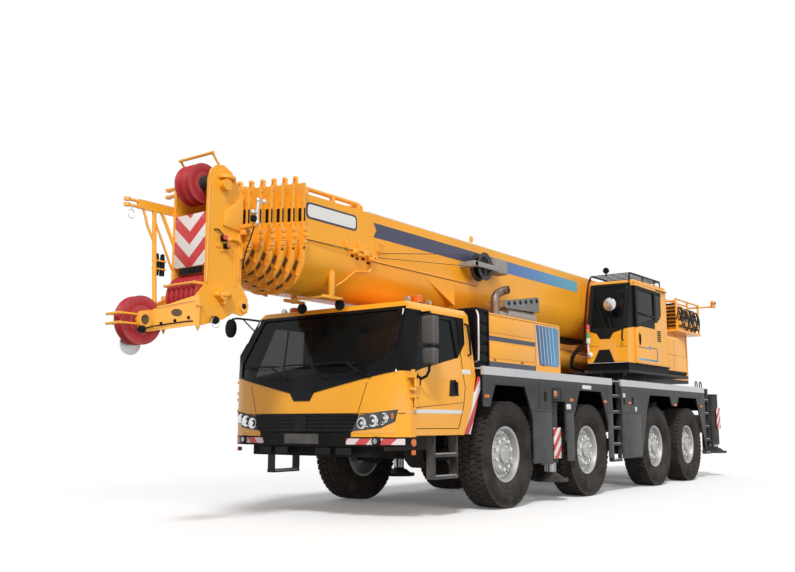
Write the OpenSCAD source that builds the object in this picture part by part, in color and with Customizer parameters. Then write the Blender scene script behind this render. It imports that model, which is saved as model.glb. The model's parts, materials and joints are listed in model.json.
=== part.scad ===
// Four-axle all-terrain mobile crane with a seven-section telescopic boom, parked for the road.
// +X is forward, +Y is the vehicle's left and +Z is up. The origin is on the ground, under the middle.
// Stations along the vehicle are measured forward from axle 1.

/* [Wheels and axles] */
// Outer radius of a loaded tyre
tyre_r = 667; // [640:1:690]
// Section width of a tyre
tyre_w = 385; // [350:1:388]
// Radius of the rim under the tyre's beads
rim_seat_r = 330; // [320:1:340]
// Outer radius of the rim's flanges
rim_flange_r = 352; // [346:1:362]
// Half width of the rim over its flanges
rim_half_w = 138; // [125:1:148]
// Thickness of the rim's barrel and flanges
rim_t = 12; // [8:1:16]
// Distance of the wheel disc's face from the wheel's middle, outwards
disc_offset = 40; // [20:1:60]
// Radius of the hub
hub_r = 165; // [140:1:180]
// Distance of a wheel's middle from the vehicle's side
wheel_inset = 225; // [220:1:235]
// Distance of a kingpin from its wheel's middle
kingpin_offset = 220; // [215:1:230]
// Radius of a kingpin
kingpin_r = 45; // [35:1:50]
// Radius of a wheel spindle
spindle_r = 70; // [60:1:80]
// Distance from axle 1 to axle 2
gap_12 = 2400; // [2390:1:2500]
// Distance from axle 2 to axle 3
gap_23 = 2745; // [2700:1:2800]
// Distance from axle 3 to axle 4
gap_34 = 1650; // [1640:1:1700]
// Radius of an axle tube
axle_tube_r = 95; // [80:1:105]
// Radius of a differential housing
diff_r = 210; // [180:1:230]
// Distance of a suspension strut from its kingpin
strut_inset = 330; // [310:1:350]
// Radius of a suspension strut
strut_r = 62; // [50:1:70]

/* [Chassis frame] */
// Half width of the frame
frame_half_w = 450; // [430:1:455]
// Height of the frame's underside
frame_bottom_z = 950; // [940:1:980]
// Height of the frame's top
frame_top_z = 1450; // [1420:1:1480]
// Thickness of the frame's plates
frame_wall = 20; // [12:1:30]
// Station of the frame's front end behind the cab
frame_front_x = 620; // [600:1:640]
// Station of the frame's rear end
frame_rear_x = -8780; // [-8850:1:-8765]
// Half width of the frame's nose under the cab
nose_half_w = 420; // [380:1:440]
// Height of the nose's underside
nose_bottom_z = 720; // [700:1:760]
// Station where the nose starts, in front of axle 1
nose_root_x = 350; // [320:1:380]
// Radius of the tow pin's hole
tow_bore_r = 25.5; // [20:0.5:30]

/* [Deck and skirts] */
// Half width of the vehicle, over the deck's edge rails
deck_half_w = 1375; // [1250:1:1500]
// Height of the deck's edge rails' top
deck_top_z = 1745; // [1740:1:1770]
// Height of an edge rail
rail_h = 103; // [90:1:110]
// Width of an edge rail
rail_w = 42; // [35:1:60]
// Thickness of the deck's plate
deck_t = 20; // [12:1:30]
// Station of the deck's front end
deck_front_x = 655; // [640:1:660]
// Station of the deck's rear end
deck_rear_x = -7670; // [-7700:1:-7640]
// Station of the front side of the middle ladder's gap
ladder_front_x = -3200; // [-3220:1:-3190]
// Width of the middle ladder's gap
ladder_gap = 360; // [340:1:380]
// Thickness of a side skirt
skirt_t = 26; // [15:1:28]
// Height of a wheel arch's top
arch_top_z = 1525; // [1500:1:1540]
// Height of the arches' knees
arch_knee_z = 1234; // [1200:1:1260]
// Height of the skirts' lower edge
skirt_bottom_z = 505; // [480:1:530]
// Half length of an arch's top
arch_top_half = 375; // [360:1:390]
// Half length of an arch at its knees
arch_knee_half = 530; // [520:1:540]
// Half length of an arch at the skirts' lower edge
arch_foot_half = 800; // [790:1:810]

/* [Outriggers] */
// Width of an outrigger beam
beam_w = 200; // [180:1:205]
// Height of an outrigger beam
beam_h = 300; // [260:1:310]
// Height of the beams' underside
beam_z = 900; // [880:1:920]
// Distance between the left and the right beam of a pair
beam_pitch = 240; // [235:1:250]
// Station of the front left beam
front_beam_x = -1340; // [-1350:1:-1330]
// Station of the rear left beam
rear_beam_x = -8360; // [-8380:1:-8355]
// Wall of an outrigger box
box_wall = 25; // [15:1:30]
// Distance of the jacks from the vehicle's side
jack_inset = 155; // [150:1:160]
// Outer radius of a jack's tube
jack_tube_r = 110; // [105:1:112]
// Radius of a jack's rod
jack_rod_r = 80; // [70:1:90]
// Radius of a jack's foot
foot_r = 240; // [200:1:250]
// Height of the front feet's underside
front_foot_z = 265; // [240:1:290]
// Height of the rear feet's underside
rear_foot_z = 460; // [440:1:480]

/* [Carrier cab] */
// Station of the cab's nose on the centre line
cab_front_x = 2400; // [2390:1:2420]
// Setback of the cab's front corners
cab_crown = 157; // [140:1:170]
// Further setback at the rounded corners
cab_corner = 120; // [100:1:140]
// Setback of the cab's sides from the vehicle's side
cab_inset = 32; // [25:1:40]
// Further setback of the cab at its windows' sill
waist_in = 60; // [50:1:70]
// Further setback of the cab at its roof
roof_in = 168; // [150:1:180]
// Height of the cab's floor underside
cab_floor_z = 920; // [910:1:930]
// Height of the belt line
cab_belt_z = 1250; // [1240:1:1270]
// Height of the windows' sill
cab_sill_z = 1552; // [1540:1:1570]
// Height of the cab's roof
cab_roof_z = 2430; // [2420:1:2440]
// Station of the roof's front edge
cab_roof_x = 1900; // [1890:1:1920]
// Station of the cab's rear wall
cab_rear_x = 690; // [685:1:700]
// Height where the rear wall starts to slope forwards
cab_knee_z = 1620; // [1600:1:1640]
// Station of the sloping rear wall's foot
cab_foot_x = 1060; // [1050:1:1070]
// Thickness of the cab's walls and doors
cab_wall = 60; // [50:1:70]
// Station of the doors' front edge
door_front_x = 2050; // [2040:1:2060]
// Station of the doors' rear edge
door_rear_x = 960; // [950:1:970]
// Height of the doors' top
door_top_z = 2320; // [2310:1:2330]
// Gap around a door
door_gap = 8; // [6:1:10]
// Radius of a door's hinge pins
hinge_pin_r = 8; // [6:1:9]
// Station of the bumper's back
bumper_back_x = 2020; // [2010:1:2030]
// Height of the bumper's underside
bumper_bottom_z = 800; // [790:1:810]
// Height of the bumper's top, under the bonnet panel
bumper_top_z = 1160; // [1150:1:1170]
// Reach of the mirrors past the cab's sides
mirror_out = 217; // [200:1:240]

/* [Hoods behind the cab] */
// Station of the hoods' front
hood_front_x = 300; // [290:1:310]
// Station of the hoods' rear
hood_rear_x = -1750; // [-1780:1:-1740]
// Distance of the hoods' inner side from the centre line
hood_inner_y = 480; // [470:1:500]
// Setback of the hoods from the vehicle's side
hood_inset = 155; // [145:1:165]
// Height of the hoods' top
hood_top_z = 2455; // [2440:1:2465]
// Wall of a hood
hood_wall = 30; // [20:1:40]

/* [Superstructure] */
// Station of the slewing axis
slew_x = -5600; // [-5610:1:-5590]
// Radius of the slewing ring
ring_r = 960; // [940:1:980]
// Height of the slewing ring's joint
ring_z = 1800; // [1790:1:1810]
// Height of the platform's underside
platform_z = 1900; // [1890:1:1910]
// Thickness of the platform
platform_t = 50; // [40:1:60]
// Inner distance of the side plates from the centre line
cheek_y = 470; // [466:1:474]
// Thickness of a side plate
cheek_t = 60; // [50:1:65]
// Station of the turntable's tail
tail_x = -9300; // [-9330:1:-9280]
// Station of the boom's pivot
pivot_x = -7900; // [-7910:1:-7890]
// Height of the boom's pivot
pivot_z = 3100; // [3090:1:3110]
// Radius of the boom's pivot pin
pivot_r = 90; // [80:1:100]
// Height of the lift cylinder's lower pin
lift_z = 2150; // [2140:1:2160]
// Radius of the lift cylinder's lower pin
lift_pin_r = 60; // [50:1:65]
// Radius of the winch drum
drum_r = 260; // [240:1:280]
// Radius of the winch drum's flanges
drum_flange_r = 350; // [330:1:360]
// Station of the winch
winch_x = -8930; // [-8940:1:-8920]
// Height of the winch
winch_z = 2420; // [2410:1:2430]
// Radius of the winch's shaft
winch_pin_r = 50; // [40:1:60]

/* [Operator cab] */
// Station of the operator cab's front at its floor
op_front_x = -4130; // [-4140:1:-4120]
// Station of the operator cab's roof front
op_roof_front_x = -4350; // [-4370:1:-4340]
// Station of the operator cab's rear
op_rear_x = -6000; // [-6010:1:-5990]
// Inner side of the operator cab
op_inner_y = 560; // [555:1:570]
// Setback of the operator cab from the vehicle's side
op_inset = 85; // [80:1:90]
// Height of the operator cab's roof
op_roof_z = 3500; // [3490:1:3520]
// Wall of the operator cab
op_wall = 45; // [35:1:50]
// Height of the operator cab's belt
op_belt_z = 2640; // [2620:1:2650]
// Thickness of the sliding door
op_door_t = 36; // [30:1:40]

/* [Boom] */
// Half width of the base section
boom_half_w = 450; // [446:1:454]
// Height of the base section's top
boom_top_z = 3580; // [3570:1:3590]
// Height where the base section's sides start to round inwards
boom_round_z = 2970; // [2960:1:2980]
// Step between one section and the next
boom_step = 36; // [34:1:37]
// Wall of a section
boom_wall = 10; // [8:1:14]
// Station of the base section's front collar
collar_x = 2950; // [2940:1:2960]
// Distance between the collars
collar_pitch = 132; // [128:1:134]
// Thickness of a collar
collar_t = 36; // [30:1:42]
// Reach of a collar past its section
collar_h = 42; // [36:1:46]
// Further reach of a collar over its section's top
collar_crest = 60; // [40:1:80]
// Station of the base section's rear end
boom_rear_x = -8500; // [-8510:1:-8490]
// Station of the lift cylinder's upper pin
eye_x = -1200; // [-1210:1:-1190]
// Height of the lift cylinder's upper pin
eye_z = 2280; // [2270:1:2290]
// Radius of the lift cylinder's upper pin
eye_bore_r = 62; // [50:1:65]
// Radius of the lift cylinder's barrel
barrel_r = 165; // [150:1:170]
// Radius of the lift cylinder's rod
rod_r = 115; // [100:1:125]

/* [Boom head] */
// Outer half width of the head
head_half_w = 262; // [258:1:264]
// Thickness of a head plate
head_t = 28; // [22:1:30]
// Station of the top sheaves
top_sheave_x = 4030; // [4020:1:4040]
// Height of the top sheaves
top_sheave_z = 3495; // [3490:1:3500]
// Radius of the lower sheaves
sheave_r = 245; // [235:1:248]
// Radius of the top sheaves
top_sheave_r = 212; // [205:1:220]
// Half of the top sheaves' width
top_sheave_w = 108; // [100:1:120]
// Station of the lower sheaves
low_sheave_x = 3960; // [3950:1:3970]
// Height of the lower sheaves
low_sheave_z = 2320; // [2310:1:2330]
// Radius of the sheaves' pins
sheave_pin_r = 50; // [40:1:60]
// Number of lower sheaves
low_sheaves = 6; // [4:1:7]
// Station of the rooster sheave
rooster_x = 4690; // [4680:1:4700]
// Height of the rooster sheave
rooster_z = 2020; // [2010:1:2030]
// Radius of the rooster sheave
rooster_r = 234; // [225:1:240]
// Half of the rooster sheave's width
rooster_w = 56; // [50:1:62]
// Reach of the rooster's guard bars past the sheave
guard_reach = 45; // [40:1:60]
// Radius of the rope anchor's hole in the head's lug
lug_bore_r = 30; // [25:1:35]

/* [Fits] */
// Running clearance of pins and shafts
pin_gap = 0.05; // [0.02:0.01:0.1]
// Clearance between pieces that slide or turn past each other
slide_gap = 0.3; // [0.2:0.1:0.5]

/* [Hidden] */
$fn = 72;
yellow = [0.96, 0.66, 0.17];
grey = [0.25, 0.26, 0.28];
black = [0.09, 0.09, 0.1];
silver = [0.75, 0.76, 0.77];
red = [0.68, 0.13, 0.16];
glass = [0.25, 0.33, 0.35];

wheel_y = deck_half_w - wheel_inset;
kingpin_y = wheel_y - kingpin_offset;
strut_y = kingpin_y - strut_inset;
jack_y = deck_half_w - jack_inset;
cab_half_w = deck_half_w - cab_inset;
cab_waist_w = cab_half_w - waist_in;
cab_roof_w = cab_half_w - roof_in;
mirror_reach = cab_half_w + mirror_out;
hood_outer_y = deck_half_w - hood_inset;
op_outer_y = deck_half_w - op_inset;
axle_x = [0, -gap_12, -gap_12 - gap_23, -gap_12 - gap_23 - gap_34];
axle_z = tyre_r;
sections = 6;
arm_tip_x = tail_x - 400;
arm_z = 3620;
front_tip_x = rooster_x + rooster_r + guard_reach;
x_shift = -(front_tip_x + arm_tip_x) / 2;

// Places of the outrigger beams: front left, front right, rear left, rear right
beam_x = [front_beam_x, front_beam_x + beam_pitch, rear_beam_x - beam_pitch, rear_beam_x];
foot_z = [front_foot_z, front_foot_z, rear_foot_z, rear_foot_z];
jack_bottom_z = [front_foot_z + 255, front_foot_z + 255, rear_foot_z + 170, rear_foot_z + 170];
jack_top_z = deck_top_z - rail_h - 30;
box_half_y = jack_y - jack_tube_r - 10;

module placed() translate([x_shift, 0, 0]) children();

// A mirrored copy where s is -1, for the vehicle's right side
module on_side(s) {
  if (s < 0) mirror([0, 1, 0]) children();
  else children();
}

module box(x0, x1, y0, y1, z0, z1)
  translate([min(x0, x1), min(y0, y1), min(z0, z1)]) cube([abs(x1 - x0), abs(y1 - y0), abs(z1 - z0)]);

module prism_y(pts, y0, y1) translate([0, y1, 0]) rotate([90, 0, 0]) linear_extrude(y1 - y0) polygon(pts);
module prism_x(pts, x0, x1) translate([x0, 0, 0]) rotate([90, 0, 90]) linear_extrude(x1 - x0) polygon(pts);
module prism_z(pts, z0, z1) translate([0, 0, z0]) linear_extrude(z1 - z0) polygon(pts);
module rod_y(x, z, r, y0, y1) translate([x, y0, z]) rotate([-90, 0, 0]) cylinder(h = y1 - y0, r = r);
module rod_x(y, z, r, x0, x1) translate([x0, y, z]) rotate([0, 90, 0]) cylinder(h = x1 - x0, r = r);
module rod_z(x, y, r, z0, z1) translate([x, y, z0]) cylinder(h = z1 - z0, r = r);

// A round bar from a to b
module bar(a, b, r) {
  d = b - a;
  n = norm(d);
  translate(a) rotate([0, acos(d[2] / n), atan2(d[1], d[0])]) cylinder(h = n, r = r);
}

// Wheels, knuckles and axles

tyre_half = tyre_w / 2;
bead_half = rim_half_w - rim_t - 2;
side_r = rim_flange_r + 0.36 * (tyre_r - rim_flange_r);
cap_w = rim_half_w + 6;
cap_t = 20;
hub_in_w = -60;
disc_t = 24;

module tyre() {
  half = [
    [rim_seat_r + slide_gap, bead_half], [rim_flange_r + 4, bead_half], [rim_flange_r + 26, bead_half + 30],
    [side_r, tyre_half], [side_r + 110, tyre_half - 5], [tyre_r - 28, tyre_half - 22], [tyre_r, tyre_half - 58]
  ];
  n = len(half);
  rotate_extrude() polygon(concat(half, [for (i = [n - 1:-1:0]) [half[i][0], -half[i][1]]]));
}

module rim() {
  inner_r = rim_seat_r - rim_t;
  rotate_extrude() polygon([
    [rim_flange_r, -rim_half_w], [rim_flange_r, -rim_half_w + rim_t], [rim_seat_r, -rim_half_w + rim_t],
    [rim_seat_r, rim_half_w - rim_t], [rim_flange_r, rim_half_w - rim_t], [rim_flange_r, rim_half_w],
    [inner_r, rim_half_w], [inner_r, disc_offset], [hub_r + 80, disc_offset], [hub_r + 60, disc_offset + 40],
    [hub_r, disc_offset + 40], [hub_r - 20, cap_w - 20], [hub_r - 45, cap_w], [0, cap_w], [0, cap_w - cap_t],
    [spindle_r + pin_gap, cap_w - cap_t], [spindle_r + pin_gap, hub_in_w], [hub_r, hub_in_w],
    [hub_r, disc_offset - disc_t], [inner_r, disc_offset - disc_t], [inner_r, -rim_half_w]
  ]);
}

// Wheel i, from 0 at the front, on side s: 1 is left and -1 is right
module wheel(i, s) {
  translate([axle_x[i], s * wheel_y, axle_z]) rotate([-90 * s, 0, 0]) {
    color(black) tyre();
    color(silver) rim();
  }
}

knuckle_half = 110;
lug_t = 45;
lug_gap = 5;
lug_r = kingpin_r + 17;

module knuckle(i, s) color(grey) translate([axle_x[i], 0, axle_z]) on_side(s) {
  rod_z(0, kingpin_y, kingpin_r, -knuckle_half - lug_gap - lug_t, knuckle_half + lug_gap + lug_t);
  box(-80, 80, kingpin_y - 60, kingpin_y + 80, -knuckle_half, knuckle_half);
  rod_y(0, 0, spindle_r, kingpin_y, wheel_y + cap_w - cap_t - 2);
  rod_y(0, 0, hub_r - 30, kingpin_y + 70, wheel_y + hub_in_w - 6);
}

module axle(i) translate([axle_x[i], 0, axle_z]) {
  lug_in = knuckle_half + lug_gap;
  fork_y = kingpin_y - 110;
  rod_y(0, 0, axle_tube_r, -fork_y, fork_y);
  rod_y(0, 0, diff_r, -150, 150);
  rod_y(0, 0, diff_r - 50, -210, 210);
  for (s = [-1, 1]) on_side(s) {
    box(-85, 85, fork_y - 60, fork_y, -lug_in - lug_t, lug_in + lug_t);
    for (u = [-1, 1]) difference() {
      z0 = u > 0 ? lug_in : -lug_in - lug_t;
      union() {
        box(-lug_r, lug_r, fork_y - 1, kingpin_y, z0, z0 + lug_t);
        rod_z(0, kingpin_y, lug_r, z0, z0 + lug_t);
      }
      rod_z(0, kingpin_y, kingpin_r + pin_gap, z0 - 1, z0 + lug_t + 1);
    }
    rod_z(0, strut_y, strut_r, 0, bracket_z - axle_z);
    box(-100, 100, strut_y - 80, strut_y + 80, -70, axle_tube_r + 35);
  }
}

module axle_beams() color(grey) for (i = [0:3]) axle(i);

// Chassis frame with its outrigger boxes, slewing base and rear cross beam

bracket_z = frame_top_z - 150;

module outrigger_box(i) {
  x0 = min(beam_x[i], beam_x[i + 1]) - beam_w / 2 - box_wall;
  x1 = max(beam_x[i], beam_x[i + 1]) + beam_w / 2 + box_wall;
  box(x0, x1, -box_half_y, box_half_y, beam_z - box_wall, beam_z + beam_h + box_wall);
}

module beam_channel(i)
  box(beam_x[i] - beam_w / 2 - slide_gap, beam_x[i] + beam_w / 2 + slide_gap, -box_half_y - 1, box_half_y + 1,
      beam_z - slide_gap, beam_z + beam_h + slide_gap);

tow_x = frame_rear_x - 110;

module chassis_frame() color(grey) difference() {
  union() {
    difference() {
      box(frame_rear_x, frame_front_x, -frame_half_w, frame_half_w, frame_bottom_z, frame_top_z);
      box(frame_rear_x + frame_wall, frame_front_x - frame_wall, -frame_half_w + frame_wall,
          frame_half_w - frame_wall, frame_bottom_z + frame_wall, frame_top_z - frame_wall);
    }
    box(nose_root_x, bumper_back_x, -nose_half_w, nose_half_w, nose_bottom_z, cab_floor_z);
    box(nose_root_x, frame_front_x, -nose_half_w, nose_half_w, cab_floor_z - 1, frame_top_z - 1);
    for (i = [0:3]) for (s = [-1, 1]) on_side(s)
      box(axle_x[i] - 110, axle_x[i] + 110, frame_half_w - frame_wall, strut_y + 90, bracket_z, frame_top_z);
    outrigger_box(0);
    outrigger_box(2);
    translate([slew_x, 0, bracket_z + 12]) cylinder(h = ring_z - 60 - bracket_z - 12, r = ring_r - 60);
    translate([slew_x, 0, ring_z - 61]) cylinder(h = 61, r = ring_r);
    box(frame_rear_x - 60, frame_rear_x + 1, -deck_half_w + 175, deck_half_w - 175, beam_z - 40, beam_z + 160);
    box(frame_rear_x - 190, frame_rear_x + 1, -90, 90, beam_z - 20, beam_z + 80);
  }
  for (i = [0:3]) beam_channel(i);
  rod_z(tow_x, 0, tow_bore_r, beam_z - 30, beam_z + 90);
}

// Outrigger beams with their jack tubes, and the jacks' rods and feet

jack_head_t = 40;
foot_t = 45;

module outrigger_beam(i) {
  s = i % 2 == 0 ? 1 : -1;
  color(grey) difference() {
    union() {
      on_side(s) box(beam_x[i] - beam_w / 2, beam_x[i] + beam_w / 2, -box_half_y + 60, jack_y, beam_z,
                     beam_z + beam_h);
      rod_z(beam_x[i], s * jack_y, jack_tube_r, jack_bottom_z[i], jack_top_z);
    }
    rod_z(beam_x[i], s * jack_y, jack_rod_r + pin_gap, jack_bottom_z[i] - 1, jack_top_z - jack_head_t);
  }
}

module outrigger_jack(i) {
  s = i % 2 == 0 ? 1 : -1;
  color(silver) translate([beam_x[i], s * jack_y, foot_z[i]]) {
    cylinder(h = foot_t, r = foot_r);
    translate([0, 0, foot_t - 1]) cylinder(h = 60, r1 = 190, r2 = 110);
    cylinder(h = jack_top_z - jack_head_t - 60 - foot_z[i], r = jack_rod_r);
  }
}

// Deck, side skirts and ladders

rail_z = deck_top_z - rail_h;
plate_z = deck_top_z - 35;
web_y = frame_half_w - 60;
ladder_rear_x = ladder_front_x - ladder_gap;

module deck_half(x0, x1) {
  box(x0, x1, web_y - 20, deck_half_w - rail_w + 1, plate_z, plate_z + deck_t);
  box(x0, x1, web_y - 20, web_y + 20, frame_top_z, plate_z + 1);
  box(x0, x1, deck_half_w - rail_w, deck_half_w, rail_z, deck_top_z);
}

module deck_plates() color(silver) for (s = [-1, 1]) on_side(s) difference() {
  union() {
    deck_half(ladder_front_x, deck_front_x);
    deck_half(deck_rear_x, ladder_rear_x);
    box(ladder_rear_x - 1, ladder_front_x + 1, web_y - 20, deck_half_w - 160, plate_z, plate_z + deck_t);
  }
  translate([slew_x, 0, frame_top_z - 1]) cylinder(h = deck_top_z, r = ring_r + 30);
}

// Corners of an arch around station x, from the front foot over the top to the rear foot
function arch(x) = [
  [x + arch_foot_half, skirt_bottom_z], [x + arch_knee_half, arch_knee_z], [x + arch_top_half, arch_top_z],
  [x - arch_top_half, arch_top_z], [x - arch_knee_half, arch_knee_z], [x - arch_foot_half, skirt_bottom_z]
];

module skirt(x_jack) {
  arch_1 = arch(axle_x[0]);
  arch_2 = arch(axle_x[1]);
  arch_3 = arch(axle_x[2]);
  arch_4 = arch(axle_x[3]);
  tooth_x = (axle_x[2] + axle_x[3]) / 2;
  recess = 205;
  y0 = deck_half_w - skirt_t;
  prism_y(concat(
    [[deck_front_x, rail_z], [deck_front_x, arch_knee_z + 20], [arch_1[1][0] - 20, arch_knee_z + 20], arch_1[2],
     arch_1[3], arch_1[4], arch_1[5], [x_jack + recess, skirt_bottom_z], [x_jack + recess, arch_knee_z + 120],
     [x_jack - recess, arch_knee_z + 120], [x_jack - recess, 0.6 * skirt_bottom_z + 0.4 * arch_knee_z],
     arch_2[1], arch_2[2], arch_2[3], arch_2[4], [ladder_front_x, skirt_bottom_z], [ladder_front_x, rail_z]]
  ), y0, deck_half_w);
  prism_y([
    [ladder_rear_x, rail_z], [ladder_rear_x, skirt_bottom_z], arch_3[0], arch_3[1], arch_3[2],
    [tooth_x + 230, arch_top_z], [tooth_x + 130, arch_top_z - 160], [tooth_x - 130, arch_top_z - 160],
    [tooth_x - 230, arch_top_z], arch_4[3], arch_4[4], [deck_rear_x, skirt_bottom_z], [deck_rear_x, rail_z]
  ], y0, deck_half_w);
}

module side_skirts() color(grey) {
  skirt(beam_x[0]);
  mirror([0, 1, 0]) skirt(beam_x[1]);
}

// A ladder between stations x0 and x1 whose stiles run from z0 to z1
module ladder(x0, x1, y0, y1, z0, z1, rungs) {
  box(x0, x0 + 24, y0, y1, z0, z1);
  box(x1 - 24, x1, y0, y1, z0, z1);
  for (k = [0:rungs - 1]) box(x0 + 1, x1 - 1, y0, y1 + 8, z0 + k * (z1 - z0) / rungs, z0 + k * (z1 - z0) / rungs + 35);
}

step_y = cab_half_w - 150;

module ladders() color(grey) for (s = [-1, 1]) on_side(s) {
  ladder(ladder_rear_x, ladder_front_x, deck_half_w - 90, deck_half_w - 30, skirt_bottom_z - 40, deck_top_z - 40, 5);
  ladder(deck_rear_x - 300, deck_rear_x, deck_half_w - 90, deck_half_w - 30, skirt_bottom_z - 40, deck_top_z - 10, 5);
  ladder(cab_foot_x + 80, cab_foot_x + 560, step_y, step_y + 110, cab_floor_z - 490, cab_floor_z, 2);
}

// Carrier cab: its volume inset by i, shared by the shell, the doors and the glass

function cab_side(i) = [
  [cab_rear_x + i, cab_knee_z + 0.25 * i], [cab_foot_x + 0.6 * i, cab_floor_z + i],
  [bumper_back_x - i, cab_floor_z + i], [bumper_back_x - i, bumper_top_z + i],
  [cab_front_x - i, bumper_top_z + i], [cab_front_x - i, cab_sill_z - 0.27 * i],
  [cab_roof_x - 0.58 * i, cab_roof_z - i], [cab_rear_x + i, cab_roof_z - i]
];

plan_steps = 24;
function crown(t) = cab_crown * pow(t, 2) + cab_corner * pow(t, 10);
function cab_plan(i) = concat(
  [[cab_rear_x - 100, -cab_half_w + i]],
  [for (k = [-plan_steps:2:plan_steps]) let (t = abs(k) / plan_steps)
    [cab_front_x - i - crown(t), (cab_half_w - i) * k / plan_steps]],
  [[cab_rear_x - 100, cab_half_w - i]]
);

function cab_half_front(i, s) = [
  [s * (cab_half_w - i), cab_floor_z - 200], [s * (cab_half_w - i), cab_belt_z],
  [s * (cab_waist_w - i), cab_sill_z + 60], [s * (cab_roof_w - i), cab_roof_z - 60],
  [s * (cab_roof_w - i - 60), cab_roof_z + 10]
];
function reversed(v) = [for (k = [len(v) - 1:-1:0]) v[k]];
function cab_section(i) = concat(cab_half_front(i, 1), reversed(cab_half_front(i, -1)));

module cab_volume(i) intersection() {
  prism_y(cab_side(i), -cab_half_w - 50, cab_half_w + 50);
  prism_z(cab_plan(i), cab_floor_z - 100, cab_roof_z + 100);
  prism_x(cab_section(i), cab_rear_x - 50, cab_front_x + 50);
}

module cab_shell(outer, inner) difference() {
  cab_volume(outer);
  cab_volume(inner);
}

door_bottom_z = cab_floor_z + cab_wall + 10;
function door_outline(g) = [
  [door_front_x - g, door_bottom_z + g], [door_front_x - g, cab_sill_z + 40],
  [door_front_x - 320 - g, door_top_z - g], [door_rear_x + 2.6 * g, door_top_z - g],
  [door_rear_x + 1.6 * g, cab_knee_z - 150], [cab_foot_x + 110 + 1.6 * g, door_bottom_z + g]
];
function door_window(g) = [
  [door_front_x - 90 - g, cab_sill_z + 60 + g], [door_front_x - 355 - g, door_top_z - 50 - g],
  [door_rear_x + 130 + g, door_top_z - 50 - g], [door_rear_x + 90 + g, cab_sill_z + 240],
  [door_rear_x + 220 + g, cab_sill_z + 20 + g]
];
screen_low_w = cab_waist_w - 2.5 * cab_wall;
screen_top_w = cab_roof_w - 1.9 * cab_wall;
function windscreen(g) = [
  [-screen_low_w + g, cab_sill_z + 45 + g], [screen_low_w - g, cab_sill_z + 45 + g],
  [screen_top_w - g, cab_roof_z - 95 - g], [-screen_top_w + g, cab_roof_z - 95 - g]
];
rear_pane_w = 0.41 * cab_half_w;

// The cab's side wall over its whole thickness
module side_band() prism_x([
  [cab_half_w - cab_wall, cab_floor_z], [cab_half_w - cab_wall, cab_belt_z],
  [cab_waist_w - cab_wall, cab_sill_z + 60], [cab_roof_w - cab_wall, cab_roof_z - 60],
  [cab_half_w + cab_wall, cab_roof_z - 60], [cab_half_w + cab_wall, cab_floor_z]
], cab_rear_x, door_front_x + 10);

module door_prism(g) intersection() {
  prism_y(door_outline(g), cab_roof_w - 2 * cab_wall, cab_half_w + cab_wall);
  side_band();
}

hinge_x = door_front_x + door_gap / 2;
hinge_y = cab_half_w + 10;
hinge_r = 2 * hinge_pin_r;
hinge_h = 90;
hinge_z = [bumper_top_z + cab_wall + 55, cab_sill_z - 60];

hinge_leaf = 70;
hinge_in = cab_waist_w - 30;
lug_h = 36;

// The knuckles of the hinges, with a leaf that reaches back into the wall: u is 1 towards the front
module hinge_knuckle(z0, z1, u) {
  rod_z(hinge_x, hinge_y, hinge_r, z0, z1);
  box(hinge_x + (u > 0 ? 4 : -hinge_leaf), hinge_x + (u > 0 ? hinge_leaf : -4), hinge_in, hinge_y + 8, z0, z1);
}

module hinge_lugs() for (z = hinge_z) {
  hinge_knuckle(z + hinge_h / 2 + 6, z + hinge_h / 2 + 6 + lug_h, 1);
  hinge_knuckle(z - hinge_h / 2 - 6 - lug_h, z - hinge_h / 2 - 6, 1);
}

module hinge_barrels() for (z = hinge_z) hinge_knuckle(z - hinge_h / 2, z + hinge_h / 2, -1);

// Room in the front pillar for the knuckles and their leaves
module hinge_room(r) for (z = hinge_z)
  rod_z(hinge_x, hinge_y, r, z - hinge_h / 2 - 6 - lug_h, z + hinge_h / 2 + 6 + lug_h);

// The mirror that hangs from an arm at the roof's right front corner
hung_y = -mirror_reach + 90;
hung_z = cab_roof_z - 175;
module hung_mirror() color(black) {
  bar([cab_roof_x, -cab_roof_w + 35, cab_roof_z - 90], [cab_roof_x + 225, hung_y + 30, hung_z + 130], 13);
  bar([cab_roof_x + 225, hung_y + 30, hung_z + 130], [cab_roof_x + 265, hung_y, hung_z + 70], 15);
  prism_x([for (a = [10:20:350]) [hung_y + 90 * cos(a) / cos(10), hung_z + (a < 180 ? 30 : -30) + 90 * sin(a)]],
          cab_roof_x + 240, cab_roof_x + 300);
}

module carrier_cab() {
  cab_body();
  hung_mirror();
}

module cab_body() color(yellow) {
  difference() {
    cab_shell(0, cab_wall);
    prism_x(windscreen(0), cab_roof_x - 120, cab_front_x + 100);
    box(cab_rear_x - 10, cab_rear_x + cab_wall + 10, -rear_pane_w, rear_pane_w, cab_sill_z + 330, cab_roof_z - 160);
    for (s = [-1, 1]) on_side(s) {
      door_prism(0);
      hinge_room(hinge_r + 8);
    }
  }
  for (s = [-1, 1]) on_side(s) {
    hinge_lugs();
    for (z = hinge_z) rod_z(hinge_x, hinge_y, hinge_pin_r, z - hinge_h / 2 - 40, z + hinge_h / 2 + 40);
  }
}

module carrier_cab_glass() color(glass) {
  intersection() {
    cab_shell(8, 18);
    prism_x(windscreen(slide_gap), cab_roof_x - 120, cab_front_x + 100);
  }
  box(cab_rear_x + 8, cab_rear_x + 16, -rear_pane_w + slide_gap, rear_pane_w - slide_gap,
      cab_sill_z + 330 + slide_gap, cab_roof_z - 160 - slide_gap);
}

mirror_x = door_front_x - 110;
mirror_y = mirror_reach - 90;
mirror_bottom_z = cab_sill_z + 120;
mirror_top_z = cab_roof_z - 200;

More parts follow.
